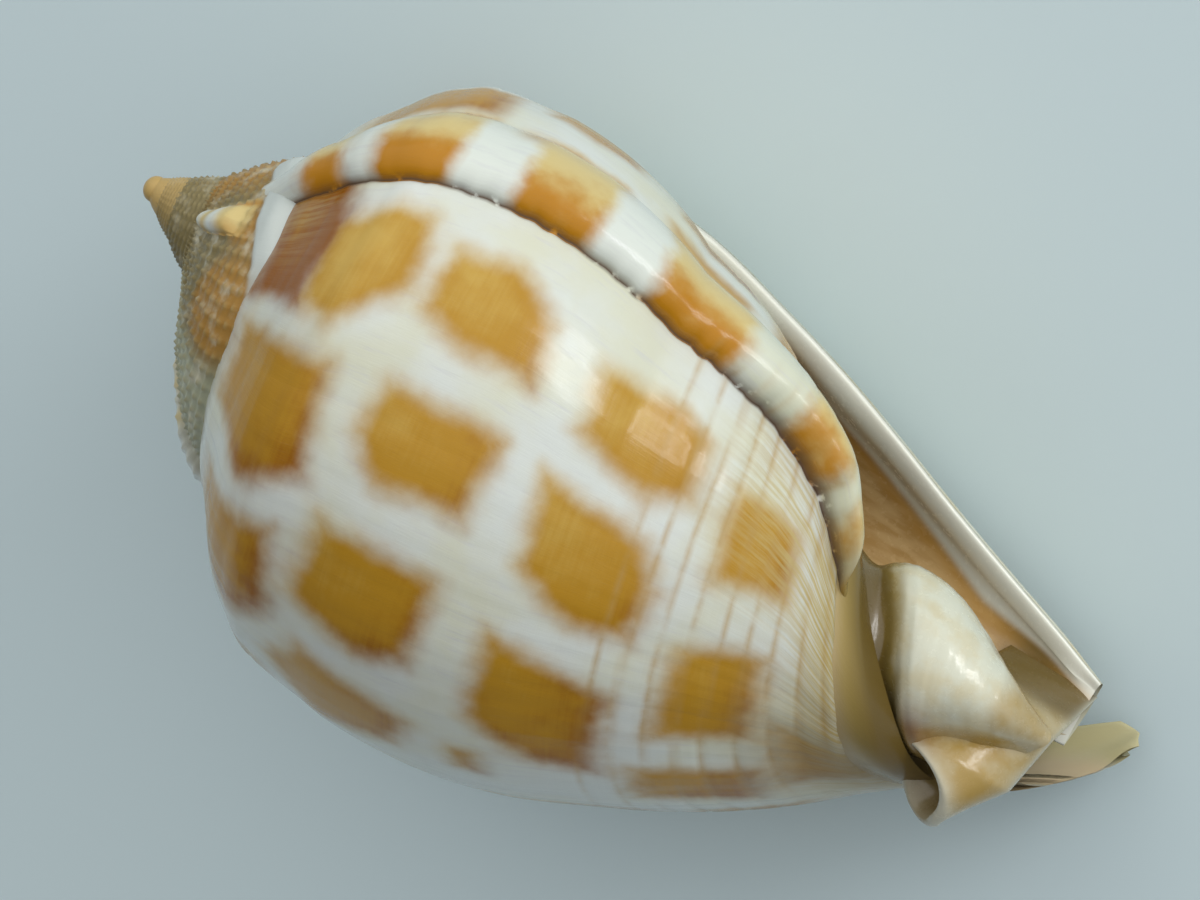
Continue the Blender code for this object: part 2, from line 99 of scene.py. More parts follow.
# The rib of the spire that is older than this stage is short: it rises and ends over these depths
SHORT_RIB_BEFORE = -300.0
SHORT_RIB_RISES = (10.2, 11.4)
SHORT_RIB_ENDS = (15.6, 16.8)

# Sharp edge of the striped rib: teeth and ragged chips in degrees, growing toward the front
EDGE_SPREAD = 3.2
EDGE_TOOTH_PITCH = 1.4
EDGE_TOOTH_DEGREES = 0.3
EDGE_TEETH_GROW = (40.0, 46.0)
EDGE_CHIP_DEGREES = 0.10
EDGE_CHIPS_GROW = (38.0, 46.0)
EDGE_STARTS = (10.5, 14.0)

# The front of the whorls is shorter beyond this depth, and full length past these angles
END_SHORTENING = 0.09
END_FROM_DEPTH = 49.6
FULL_LENGTH_ANGLES = (-10.0, 50.0)

# The front part of the older whorls is fuller by this much
FULL_DEPTH = [42.0, 45.7, 49.2, 52.2, 54.8, 57.5, 59.8, 62.0]
FULLNESS = [0.0, 0.9, 1.5, 2.0, 2.5, 2.7, 2.4, 0.8]
FULLER_FROM = (-300.0, -200.0)
FULLER_UNTIL = (-25.0, 75.0)

# The front end of the whorls rounds down into the groove by this much
FRONT_DROP = 3.0
FRONT_DROP_DEPTH = (57.2, 60.8)
FRONT_DROP_UNTIL = (60.0, 110.0)

# Axis side of the hollow in the last whorl, and the stage where the hollow starts
HOLLOW_INNER = [
    (3.6, 58.0), (3.8, 52.6), (4.5, 43.4), (5.4, 38.4), (7.5, 34.7), (9.9, 31.0),
    (12.6, 24.8), (14.1, 20.2), (14.6, 17.6),
]
HOLLOW_FROM = -170.0
HOLLOW_PAST_LIP = 14.0

# Neck below the whorls, as outlines (radius, depth) at growth angles, and the groove along it
NECK_MM_PER_DEGREE = 0.12
NECK = {
    -150: [(4.3, 43.4), (3.6, 46.6), (3.0, 49.4), (2.8, 51.4), (3.0, 53.4), (3.0, 56.5), (2.5, 60.5),
           (1.7, 63.2), (0.5, 64.6)],
    -100: [(5.0, 45.9), (4.0, 48.4), (3.2, 50.2), (3.0, 51.6), (3.6, 52.8), (4.2, 54.8), (3.6, 57.8),
           (2.0, 61.8), (0.4, 63.9)],
    -50: [(6.7, 46.5), (5.6, 49.2), (4.5, 51.0), (4.2, 52.1), (5.0, 53.0), (5.6, 54.6), (5.3, 57.6),
          (3.3, 61.2), (1.0, 63.9)],
    0: [(7.8, 48.4), (6.6, 50.9), (5.2, 53.1), (4.8, 54.6), (5.6, 55.6), (6.5, 57.2), (6.5, 60.0),
        (5.2, 63.4), (2.2, 66.2)],
    40: [(8.7, 51.5), (7.3, 53.6), (5.8, 55.5), (5.1, 56.9), (5.8, 57.9), (6.0, 59.0), (4.9, 60.6),
         (4.0, 63.0), (2.4, 65.4)],
    80: [(9.3, 54.6), (7.8, 56.5), (6.3, 58.3), (5.5, 59.3), (5.3, 60.0), (5.0, 60.8), (4.2, 62.0),
         (3.4, 63.6), (2.0, 64.8)],
    110: [(9.3, 55.8), (7.8, 57.2), (6.2, 58.4), (5.3, 59.2), (5.0, 59.8), (4.6, 60.8), (4.1, 62.5),
          (3.3, 64.2), (2.2, 65.5)],
}
GROOVE_ANGLE = [-150.0, -100.0, -50.0, 0.0, 40.0, 80.0, 110.0]
GROOVE_DEPTH = [51.4, 51.6, 52.1, 54.6, 56.9, 59.3, 59.8]

# Threads of the fasciole, as (distance from the groove, height)
FASCIOLE_THREADS = [(1.35, 0.06), (2.1, 0.04)]
FASCIOLE_THREAD_WIDTH = 0.3

# Siphon canal: an oval tube along -Y, as values at these positions along Y
CANAL_Y = [-7.8, -6.2, -4.1, 0.0, 3.6]
CANAL_DEPTH = [60.5, 61.1, 61.9, 62.6, 63.9]
CANAL_HALF_LONG = [2.7, 3.1, 3.8, 3.7, 3.1]
CANAL_X = [2.1, 2.0, 1.5, -0.4, -5.0]
CANAL_HALF_DEEP = [2.5, 2.5, 2.6, 2.5, 0.5]
CANAL_END_Y = -6.3
CANAL_END_SLANT = (-1.5, 1.1)
CANAL_WALL = 0.8
CANAL_RIM_BULGE = 0.25

# Shield over the columella: depth, then (x, y) from its free edge to the opening
SHIELD = [
    (16.5, [(-4.6, 12.6), (-8.2, 9.8), (-11.0, 5.6), (-12.2, 1.8), (-12.0, -1.1)]),
    (20.5, [(-5.9, 15.9), (-10.5, 12.4), (-13.8, 7.0), (-15.3, 2.2), (-15.0, -1.4)]),
    (26.0, [(-5.0, 15.9), (-9.9, 12.4), (-13.6, 6.9), (-14.9, 2.3), (-14.3, -1.4)]),
    (32.2, [(-3.7, 15.4), (-9.0, 12.1), (-12.3, 6.7), (-13.1, 2.1), (-12.3, -1.7)]),
    (38.4, [(-3.1, 13.9), (-8.1, 11.4), (-10.7, 6.4), (-11.0, 2.1), (-9.9, -1.7)]),
    (43.4, [(-3.1, 12.5), (-7.3, 10.3), (-9.2, 6.1), (-9.2, 2.1), (-7.8, -1.5)]),
    (48.4, [(-3.1, 10.8), (-6.4, 9.3), (-7.9, 5.8), (-7.6, 2.1), (-6.2, -1.2)]),
    (53.3, [(-3.2, 9.0), (-5.9, 7.9), (-6.9, 5.1), (-6.5, 2.0), (-5.2, -0.8)]),
    (58.3, [(-3.4, 7.3), (-5.3, 6.5), (-6.1, 4.4), (-5.7, 1.9), (-4.6, -0.6)]),
    (63.2, [(-3.6, 5.7), (-5.0, 5.1), (-5.5, 3.5), (-5.1, 1.6), (-4.3, -0.3)]),
    (66.8, [(-3.8, 4.4), (-4.4, 3.9), (-4.6, 2.6), (-4.5, 1.2), (-4.2, 0.0)]),
]

# How wide its rolled rim is at each depth, half its thickness below and above, and its folds
RIM_DEPTH = [20.0, 30.0, 45.0, 58.0, 67.0]
RIM_WIDTH = [2.0, 3.5, 4.1, 3.7, 1.5]
SHIELD_HALF_THICK = (0.5, 0.42)
SHIELD_EDGE_ROUNDING = 1.7
RIM_ROLL = 0.42
FOLD_HEIGHT = 0.35
FOLD_PITCH = 3.1
FOLD_SLANT = 0.35

# The lip runs forward in a lobe at its front end
LOBE_FROM = 128.0
LOBE_DEPTH = [55.5, 57.5, 58.9, 60.2, 61.4]
LOBE_ANGLE = [0.0, 8.0, 19.0, 12.0, 2.0]
LOBE_PULL = 0.9
LOBE_PULL_DEPTH = (59.5, 61.4)

# Cross shape of the thick lip, as (outward, forward), the degrees before it where the whorl's columns
# end, its teeth, how it thins at its front end, and the wall inside
LIP_ROLL = [
    (1.72, -2.4), (1.75, -1.5), (1.45, -0.55), (0.75, 0.05), (0.0, 0.25), (-1.0, 0.2),
    (-1.9, -0.05), (-2.45, -0.6), (-2.65, -1.5), (-2.55, -2.6), (-2.2, -4.2), (-1.75, -6.0),
    (-1.35, -8.0), (-1.2, -10.0),
]
BEFORE_ROLL = 6.0
LIP_TOOTH_HEIGHT = 0.55
LIP_TOOTH_PITCH = 2.3
LIP_TEETH_DEPTH = [18.0, 24.0, 50.0, 56.0]
LIP_TEETH_SHARE = [0.0, 1.0, 1.0, 0.0]
OUTLINE_LENGTH = 70.0
LIP_THINNER = 0.85
LIP_THINS = (54.5, 59.5)
LIP_LEAST_RADIUS = 14.0
WALL_THICKNESS = 1.2
WALL_FROM = 28.0
WALL_STEP = 5.0

# Fine relief: spiral grooves at these depths, and cords and riblets that cross as beads on the spire
GROOVES = [44.6, 46.3, 48.0, 49.6, 51.2, 52.8, 54.3, 55.7, 57.0]
GROOVE_WANDER = 0.12
GROOVE_CUT = 0.10
SHOULDER_GROOVES = [14.9, 16.4, 18.0, 19.8, 22.0]
SHOULDER_GROOVE_CUT = 0.05
RELIEF_WIDTH = 0.16
CORDS_FROM = 8.6
CORD_PITCH = 1.05
RIBLET_DEGREES = 5.6
SPIRE_UNTIL = (-290.0, -235.0)
TIP_UNTIL = (-1250.0, -900.0)

# White glaze along the last suture: where it starts on the whorl before, and its ends
CALLUS_STAGE = [-407.0, -393.0, -377.0, -361.0, -349.0, -336.0]
CALLUS_FROM = [16.4, 17.7, 18.6, 21.0, 22.2, 24.6]
CALLUS_STARTS = (-425.0, -412.0)
CALLUS_ENDS = (-366.0, -338.0)

# Smooth round tip of the spire
APEX_RADIUS = 0.85
APEX_DEPTH = 1.25
APEX_DROP = 0.75
APEX_POLE_GAP = 0.02
APEX_FLATNESS = 0.9
APEX_LOW = 10.0

# Parts of the whorls that later ones cover aren't built: outline depths, some by stage
BURIED_STAGE = [-700.0, -345.0]
BURIED_BELOW = [18.0, 26.0]
HIDDEN_STAGE = [-155.0, -60.0]
HIDDEN_ABOVE = [8.0, 11.2]
HIDDEN_AFTER = -200.0
OUTSIDE_TOP = 7.9
INSIDE_TOP = 12.3

# The older whorls are a piece of their own up to this stage
OLDER_UNTIL = -222.0

# Resting pose: growth angle that faces up, rise of the apex, height of the worn flats
UP_ANGLE = 24.5
APEX_RISE = 7.0
WORN_FLAT = 0.02

# Points along and around each surface
FINE = 1400
WHORL_ROWS = 190
LIP_POINTS = 40
APEX_POINTS = (20, 40)
NECK_POINTS = (240, 150)
CANAL_RINGS = (60, 9, 30)
CANAL_POINTS = 96
SHIELD_POINTS = (220, 110)
HOLLOW_POINTS = (120, 60)
UV_GAP = 0.002


def spline(points, count, fine=24):
    """A smooth curve through the points, at evenly spaced places along its length."""
    p = np.asarray(points, float)
    knots = np.r_[0.0, np.cumsum(np.sqrt(np.linalg.norm(np.diff(p, axis=0), axis=1)))]
    slope = np.zeros_like(p)
    slope[1:-1] = (p[2:] - p[:-2]) / (knots[2:] - knots[:-2])[:, None]
    slope[0] = (p[1] - p[0]) / (knots[1] - knots[0])
    slope[-1] = (p[-1] - p[-2]) / (knots[-1] - knots[-2])
    at = np.linspace(0.0, knots[-1], fine * count)
    k = np.clip(np.searchsorted(knots, at, side="right") - 1, 0, len(p) - 2)
    gap = (knots[k + 1] - knots[k])[:, None]
    x = (at - knots[k])[:, None] / gap
    curve = ((2 * x ** 3 - 3 * x ** 2 + 1) * p[k] + (x ** 3 - 2 * x ** 2 + x) * gap * slope[k]
             + (-2 * x ** 3 + 3 * x ** 2) * p[k + 1] + (x ** 3 - x ** 2) * gap * slope[k + 1])
    length = np.r_[0.0, np.cumsum(np.linalg.norm(np.diff(curve, axis=0), axis=1))]
    even = np.linspace(0.0, length[-1], count)
    return np.stack([np.interp(even, length, curve[:, i]) for i in range(p.shape[1])], 1)


def ease(value, start, end):
    """Smooth step from 0 at start to 1 at end."""
    x = np.clip((np.asarray(value, float) - start) / (end - start), 0.0, 1.0)
    return x * x * (3.0 - 2.0 * x)


def bump(value, centre, width):
    """Bell curve of height 1 around the centre."""
    return np.exp(-((np.asarray(value, float) - centre) / width) ** 2)


def scale_at(angle):
    """Size of the shell at a growth angle, and its narrowing on the right side."""
    angle = np.asarray(angle, float)
    dip = np.exp(-((angle - RIGHT_SIDE_STAGE) / RIGHT_SIDE_SPREAD) ** 2)
    return GROWTH_PER_TURN ** ((angle - 90.0) / 360.0), 1.0 - RIGHT_SIDE_DIP * dip


def place(angle, radius, depth):
    """Points in the shell frame from growth angle, radius and depth."""
    turn = np.radians(angle)
    return np.stack([radius * np.cos(turn), -radius * np.sin(turn), -depth], -1)


def rib(behind, width):
    """Height of a rib, from 0 to 1, at an angle behind its sharp edge."""
    x = np.clip(behind / width, 0.0, 1.0)
    height = np.sin(math.pi * x ** RIB_PEAK_POWER) ** RIB_BLUNT_POWER
    return height * (behind > 0) * (behind < width)


def wave(seed, low, high, count):
    """A random smooth function of one value, as a sum of waves with set lengths."""
    draw = np.random.default_rng(seed)
    length = draw.uniform(low, high, count)
    phase = draw.uniform(0.0, 2.0 * math.pi, count)

    def value(x):
        """The wave's height at x."""
        x = np.asarray(x, float)
        total = np.zeros_like(x)
        for a, b in zip(length, phase):
            total += np.sin(2.0 * math.pi * x / a + b)
        return total / math.sqrt(count / 2.0)
    return value


EARLY_FINE = spline(EARLY_OUTLINE, FINE, 4)
LATE_FINE = spline(LATE_OUTLINE, FINE, 4)
ragged = wave(11, 1.4, 5.0, 9)
growth_wave = wave(3, 1.1, 9.0, 14)
slow_wave = wave(5, 14.0, 60.0, 6)
fasciole_wave = wave(17, 0.5, 2.6, 10)


def edge_jag(depth):
    """Teeth and chips along the sharp edge of the striped rib, in degrees."""
    strength = 0.05 + 0.95 * ease(depth, *EDGE_TEETH_GROW)
    teeth = strength * (np.abs(np.sin(math.pi * depth / EDGE_TOOTH_PITCH)) * 2.0 - 1.0)
    rough = EDGE_CHIP_DEGREES + EDGE_CHIP_DEGREES * ease(depth, *EDGE_CHIPS_GROW)
    return (EDGE_TOOTH_DEGREES * teeth + rough * ragged(depth)) * ease(depth, *EDGE_STARTS)


def callus_share(stage, depth):
    """Where the white glaze along the last suture lies on the whorl before."""
    near = ease(depth - np.interp(stage, CALLUS_STAGE, CALLUS_FROM), -0.3, 0.4)
    return near * ease(stage, *CALLUS_STARTS) * (1.0 - ease(stage, *CALLUS_ENDS))


def old_rib_share(stage, depth):
    """Where the smooth short rib of the whorl before lies."""
    edge, width, _ = VARICES[2]
    behind = edge - stage
    along = ease(behind, -0.8, 0.4) * (1.0 - ease(behind, width * 0.85, width * 1.1))
    return along * ease(depth, 10.2, 11.0) * (1.0 - ease(depth, 15.5, 16.2))


def groove_places(stage):
    """Depths of the spiral grooves, each wandering a little along the whorl."""
    return [at + GROOVE_WANDER * np.sin(stage / 17.0 + 1.7 * i) for i, at in enumerate(GROOVES)]


def spire_cords(depth):
    """Spiral cords of the spire, from 0 to 1."""
    return np.maximum(0.0, np.cos(2.0 * math.pi * (depth - CORDS_FROM) / CORD_PITCH))


def spire_riblets(stage):
    """Riblets of the spire along the growing edge, from 0 to 1."""
    return np.maximum(0.0, np.cos(2.0 * math.pi * stage / RIBLET_DEGREES + 0.3 * np.sin(stage / 9.0)))


def body_detail(stage, depth):
    """Fine relief of the whorls in millimetres at unit scale."""
    late = ease(stage, LATE_FROM, -300.0)
    lift = 0.006 * growth_wave(stage) * late * ease(depth, 12.0, 16.0)
    lift += 0.035 * slow_wave(stage + 0.4 * depth) * late
    for i, at in enumerate(groove_places(stage)):
        lift -= GROOVE_CUT * bump(depth, at, RELIEF_WIDTH) * late * (0.55 + 0.45 * np.sin(stage / 23.0 + i))
    for at in SHOULDER_GROOVES:
        lift -= SHOULDER_GROOVE_CUT * bump(depth, at, RELIEF_WIDTH) * late
    early = 1.0 - ease(stage, *SPIRE_UNTIL)
    early = early * (1.0 - callus_share(stage, depth)) * (1.0 - old_rib_share(stage, depth))
    cords = spire_cords(depth)
    ribs = spire_riblets(stage)
    fade = early * ease(stage, -1330.0, -1180.0)
    lift += fade * (0.16 * cords + 0.08 * ribs + 0.24 * cords * ribs - 0.2)
    into = depth - np.interp(stage, CALLUS_STAGE, CALLUS_FROM)
    return lift + callus_share(stage, depth) * (0.25 + 0.75 * ease(into, -0.3, 2.6))


def outline_rows(curve, rows):
    """Points of a fine curve at places from 0 to 1 along it."""
    at = np.asarray(rows, float) * (FINE - 1)
    low = np.floor(at).astype(int).clip(0, FINE - 2)
    part = (at - low)[:, None]
    return curve[low] * (1 - part) + curve[low + 1] * part


def fuller(stage, depth):
    """How much fuller the front part of the older whorls is."""
    older = (1.0 - ease(stage, *FULLER_UNTIL)) * ease(stage, *FULLER_FROM)
    return older * np.interp(depth, FULL_DEPTH, FULLNESS)


def lobe_angle(stage, depth):
    """How far the lip's lobe runs forward, in degrees."""
    return np.interp(depth, LOBE_DEPTH, LOBE_ANGLE) * ease(stage, LOBE_FROM, LIP_STAGE)


def raised(outline, lift, stage, angle):
    """Radius and depth of outline points lifted along their normals, at the size of their angle."""
    across = np.gradient(outline, axis=-2)
    size = np.hypot(across[..., 0], across[..., 1]) + TINY
    normal = np.stack([across[..., 1] / size, -across[..., 0] / size], -1)
    lifted = outline + normal * lift[..., None]
    short = 1.0 - END_SHORTENING * (1.0 - ease(angle, *FULL_LENGTH_ANGLES))
    end = lifted[..., 1]
    end = np.where(end > END_FROM_DEPTH, END_FROM_DEPTH + (end - END_FROM_DEPTH) * short, end)
    end = end - LOBE_PULL * ease(outline[..., 1], *LOBE_PULL_DEPTH) * ease(stage, LOBE_FROM, LIP_STAGE)
    size, dip = scale_at(angle)
    return lifted[..., 0] * size * dip, end * size


def whorl_surface(stages, rows):
    """Angle, radius, depth and outline depth of the outside of the whorls.

    stages is one value a column; rows is a place along the outline from 0 to 1.
    """
    share = ease(stages, EARLY_UNTIL, LATE_FROM)[:, None, None]
    outline = ((1.0 - share) * outline_rows(EARLY_FINE, rows)[None]
               + share * outline_rows(LATE_FINE, rows)[None])
    depth = outline[..., 1]
    stage = stages[:, None] + 0.0 * depth
    angle = stages[:, None] + np.interp(depth, EDGE_DEPTH, EDGE_ANGLE)
    lift = np.zeros_like(depth)
    for edge, width, height in VARICES:
        end = 1.0
        if edge < SHORT_RIB_BEFORE:
            end = ease(depth, *SHORT_RIB_RISES) * (1.0 - ease(depth, *SHORT_RIB_ENDS))
        lift += height * rib(edge - stages, width)[:, None] * np.interp(depth, RIB_DEPTH, RIB_FACTOR) * end
    lip = LIP_RIB[2] * rib(LIP_STAGE - stages, LIP_RIB[1])
    lift += lip[:, None] * np.interp(depth, RIB_DEPTH, LIP_FACTOR)
    angle = angle + edge_jag(depth) * bump(stages[:, None], VARICES[0][0], EDGE_SPREAD)
    angle = angle + lobe_angle(stages[:, None], depth)
    lift += fuller(stages[:, None], depth)
    lift -= FRONT_DROP * ease(depth, *FRONT_DROP_DEPTH) * (1.0 - ease(stages, *FRONT_DROP_UNTIL))[:, None]
    lift += body_detail(stage, depth)
    radius, end = raised(outline, lift, stages[:, None], angle)
    return angle, radius, end, depth


def lip_surface(stage_row, rows, outward):
    """Angle, radius and depth of one column, with its own stage and outward shift in each row."""
    outline = outline_rows(LATE_FINE, rows)
    depth = outline[:, 1]
    lift = outward * np.interp(depth, RIB_DEPTH, LIP_FACTOR) + fuller(stage_row, depth)
    angle = stage_row + np.interp(depth, EDGE_DEPTH, EDGE_ANGLE) + lobe_angle(stage_row, depth)
    radius, end = raised(outline, lift, stage_row, angle)
    return angle, radius, end


def resting_matrix():
    """Turn of the shell from its own axes to the pose in which it lies."""
    turn = math.radians(UP_ANGLE)
    rise = math.radians(APEX_RISE)
    out = Vector((math.cos(turn), -math.sin(turn), 0.0))
    up = out * math.cos(rise) + Vector((0.0, 0.0, math.sin(rise)))
    front = out * math.sin(rise) - Vector((0.0, 0.0, math.cos(rise)))
    side = up.cross(front)
    return Matrix((front, side, up))


REST = np.array(resting_matrix())


def add_object(name, data):
    """A new object in the scene."""
    made = bpy.data.objects.new(name, data)
    bpy.context.scene.collection.objects.link(made)
    return made


class Grid:
    """Points in rows and columns with values at each, and the faces to keep."""

    def __init__(self, points, closed=False, keep=None, flip=False, **values):
        self.points = points
        self.closed = closed
        self.keep = keep
        self.flip = flip
        self.values = values


def grid_faces(grid, first, top, share):
    """Quads of a grid whose vertices are numbered from first, and the bake places of their corners."""
    n, m, _ = grid.points.shape
    index = np.arange(n * m).reshape(n, m) + first
    if grid.closed:
        index = np.concatenate([index, index[:, :1]], axis=1)
        m += 1
    u = np.linspace(UV_GAP, 1.0 - UV_GAP, n)[:, None] + np.zeros((1, m))
    v = np.linspace(top + UV_GAP, top + share - UV_GAP, m)[None] + np.zeros((n, 1))
    uv = np.stack([u, v], -1)
    quads = np.stack([index[:-1, :-1], index[:-1, 1:], index[1:, 1:], index[1:, :-1]], -1)
    corners = np.stack([uv[:-1, :-1], uv[:-1, 1:], uv[1:, 1:], uv[1:, :-1]], -2)
    if grid.flip:
        quads, corners = quads[..., ::-1], corners[..., ::-1, :]
    if grid.keep is not None:
        quads, corners = quads[grid.keep], corners[grid.keep]
    return quads.reshape(-1, 4), corners.reshape(-1, 2)


def build_piece(name, grids, material, shift):
    """One visible piece from its grids, turned to rest, moved by shift and worn flat where it stands."""
    names = sorted({k for g in grids for k in g.values})
    total = sum(g.points.shape[0] * g.points.shape[1] for g in grids)
    parts = []
    first, top = 0, 0.0
    for g in grids:
        count = g.points.shape[0] * g.points.shape[1]
        parts.append(grid_faces(g, first, top, count / total))
        first += count
        top += count / total
    points = np.concatenate([g.points.reshape(-1, 3) for g in grids])
    quads, uvs = (np.concatenate(p) for p in zip(*parts))
    used = np.zeros(len(points), bool)
    used[quads.reshape(-1)] = True
    quads = (np.cumsum(used) - 1)[quads]
    kept = points[used]
    world = (kept @ REST.T + shift) * MM
    world[:, 2] = np.maximum(world[:, 2], WORN_FLAT * MM)
    mesh = bpy.data.meshes.new(name)
    mesh.from_pydata(world.tolist(), [], quads.tolist())
    mesh.validate()
    mesh.shade_smooth()
    layer = mesh.uv_layers.new(name="OFBake")
    layer.data.foreach_set("uv", uvs.astype(np.float32).reshape(-1))
    for k in names:
        value = [np.broadcast_to(g.values.get(k, 0.0), g.points.shape[:2]).reshape(-1) for g in grids]
        field = mesh.attributes.new(k, "FLOAT", "POINT")
        field.data.foreach_set("value", np.concatenate(value)[used].astype(np.float32))
    spot = mesh.attributes.new("spot", "FLOAT_VECTOR", "POINT")
    spot.data.foreach_set("vector", kept.astype(np.float32).reshape(-1))
    mesh.materials.append(material)
    piece = add_object(name, mesh)
    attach(piece, "root")
    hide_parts("shell")


def stage_list():
    """Growth stages of the columns, close together at the sharp edges."""
    parts = [np.arange(FIRST_STAGE, -420.0, 4.0), np.arange(-420.0, VARICES[0][0], 1.0),
             np.arange(VARICES[0][0], LIP_STAGE - BEFORE_ROLL, 0.8)]
    near = np.array([-2.0, -1.3, -0.8, -0.45, -0.2, -0.05, 0.05, 0.3, 0.7, 1.2])
    for edge, _, _ in VARICES:
        parts.append(edge + near)
    every = np.unique(np.concatenate(parts).round(3))
    keep = [every[0]]
    for s in every[1:]:
        if s - keep[-1] > 0.12:
            keep.append(s)
    return np.array(keep)


def lip_columns(rows, edge_radius, low):
    """Columns that roll round the lip and run back as the wall inside, as (angle, radius, depth, stage)."""
    thin = 1.0 - LIP_THINNER * ease(low, *LIP_THINS)
    tooth = 0.5 + 0.5 * np.cos(2.0 * math.pi * rows * OUTLINE_LENGTH / LIP_TOOTH_PITCH)
    toothed = np.interp(low, LIP_TEETH_DEPTH, LIP_TEETH_SHARE)
    columns = []
    for out, ahead in spline(LIP_ROLL, LIP_POINTS)[1:]:
        stage = LIP_STAGE + np.degrees(ahead / np.maximum(edge_radius, LIP_LEAST_RADIUS))
        inner = ease(-out, 1.6, 2.4)
        shift = out - inner * LIP_TOOTH_HEIGHT * tooth * toothed * ease(ahead, -4.5, -2.0)
        columns.append((*lip_surface(stage, rows, shift * thin), stage))
    for back in np.arange(LIP_STAGE - WALL_FROM, HOLLOW_FROM, -WALL_STEP):
        stage = np.full(len(rows), back)
        columns.append((*lip_surface(stage, rows, -WALL_THICKNESS * thin), stage))
    return [np.array(v) for v in zip(*columns)]


def kept_faces(stage, low, outside):
    """Which faces of the whorls to build: later whorls cover the others."""
    keep = np.ones(stage.shape, bool)
    buried = np.interp(stage, BURIED_STAGE, BURIED_BELOW)
    hidden = np.interp(stage, HIDDEN_STAGE, HIDDEN_ABOVE)
    keep &= ~(outside & (stage < OLDER_UNTIL) & (low > buried))
    keep &= ~(outside & (stage > HIDDEN_AFTER) & (low < hidden))
    keep &= ~(outside & (low < OUTSIDE_TOP))
    keep &= ~(~outside & (low < INSIDE_TOP))
    return keep


def whorl_grids():
    """The older whorls, and the last whorl with its lip and the wall inside it."""
    rows = np.linspace(0.0, 1.0, WHORL_ROWS)
    stages = stage_list()
    angle, radius, depth, low = whorl_surface(stages, rows)
    outer = (angle, radius, depth, np.repeat(stages[:, None], len(rows), 1))
    lip = lip_columns(rows, radius[-1], low[-1])
    outside = len(stages)
    inward = len(lip[0])
    angle, radius, depth, stage = (np.concatenate(v) for v in zip(outer, lip))
    points = place(angle, radius, depth)
    low = np.concatenate([low, np.repeat(low[-1:], inward, 0)])
    inside = np.zeros_like(stage)
    inside[outside:] = ease(np.arange(inward), 8.0, 26.0)[:, None]
    outer_face = np.zeros((len(stage) - 1, len(rows) - 1), bool)
    outer_face[:outside - 1] = True
    keep = kept_faces(stage[:-1, :-1], low[:-1, 1:], outer_face)
    fields = whorl_fields(stage, low, inside)
    seam = int(np.searchsorted(stages, OLDER_UNTIL))
    older = Grid(points[:seam + 1], keep=keep[:seam], **{k: v[:seam + 1] for k, v in fields.items()})
    last = Grid(points[seam:], keep=keep[seam:], **{k: v[seam:] for k, v in fields.items()})
    return older, last


def apex_grid():
    """The smooth round tip."""
    turn = np.linspace(0.0, 2.0 * math.pi, APEX_POINTS[1], endpoint=False)
    rise = np.linspace(APEX_POLE_GAP, math.pi * APEX_DROP, APEX_POINTS[0])[:, None]
    ring = APEX_RADIUS * np.sin(rise)
    level = -APEX_DEPTH + APEX_FLATNESS * APEX_RADIUS * np.cos(rise)
    points = np.stack([ring * np.cos(turn), ring * np.sin(turn), 0.0 * turn + level], -1)
    return Grid(points, closed=True, stage=FIRST_STAGE, low=APEX_LOW, mark=FAR_OUTSIDE, bar=FAR_OUTSIDE,
                spire=1.0, tip=1.0)


def front_tints(points):
    """Colour shares of the front end by place: the orange band and the purple patch."""
    ahead, right = -points[..., 2], points[..., 1]
    toward = ease(points[..., 0], -1.0, 2.0)
    orange = ease(-(right + 3.3 - (ahead - 59.1) * 0.456), -0.3, 0.7) * ease(ahead, 55.5, 57.5)
    orange = np.maximum(orange, 0.85 * ease(ahead, 61.5, 63.5) * ease(right, -2.5, -0.5))
    purple = bump(ahead, 58.6, 1.6) * bump(right, -4.2, 1.5) * toward
    return orange, purple


def neck_grid():
    """Neck with the groove behind the whorl and the ridge of the fasciole."""
    along, across = NECK_POINTS
    angles = sorted(NECK)
    outlines = np.stack([np.c_[np.full(across, a * NECK_MM_PER_DEGREE), spline(NECK[a], across)]
                         for a in angles])
    blend = np.stack([spline(outlines[:, j], along, 4) for j in range(across)], axis=1)
    angle, radius, depth = blend[..., 0] / NECK_MM_PER_DEGREE, blend[..., 1], blend[..., 2]
    beyond = depth - np.interp(angle, GROOVE_ANGLE, GROOVE_DEPTH)
    for at, height in FASCIOLE_THREADS:
        radius = radius + height * bump(beyond, at, FASCIOLE_THREAD_WIDTH)
    arcs = beyond + 0.02 * angle
    radius = radius + 0.010 * fasciole_wave(arcs) * ease(beyond, 1.8, 2.6)
    points = place(angle, radius, depth)
    orange, purple = front_tints(points)
    # Olive of the groove, partly its own colour and partly painted shade
    olive = 1.0 - ease(beyond, 0.35, 2.1)
    # Painted shade: darker at the bottom of the groove
    murk = 1.0 - ease(beyond, -0.2, 0.9)
    return Grid(points, tint=orange, purple=purple, olive=olive, murk=murk)


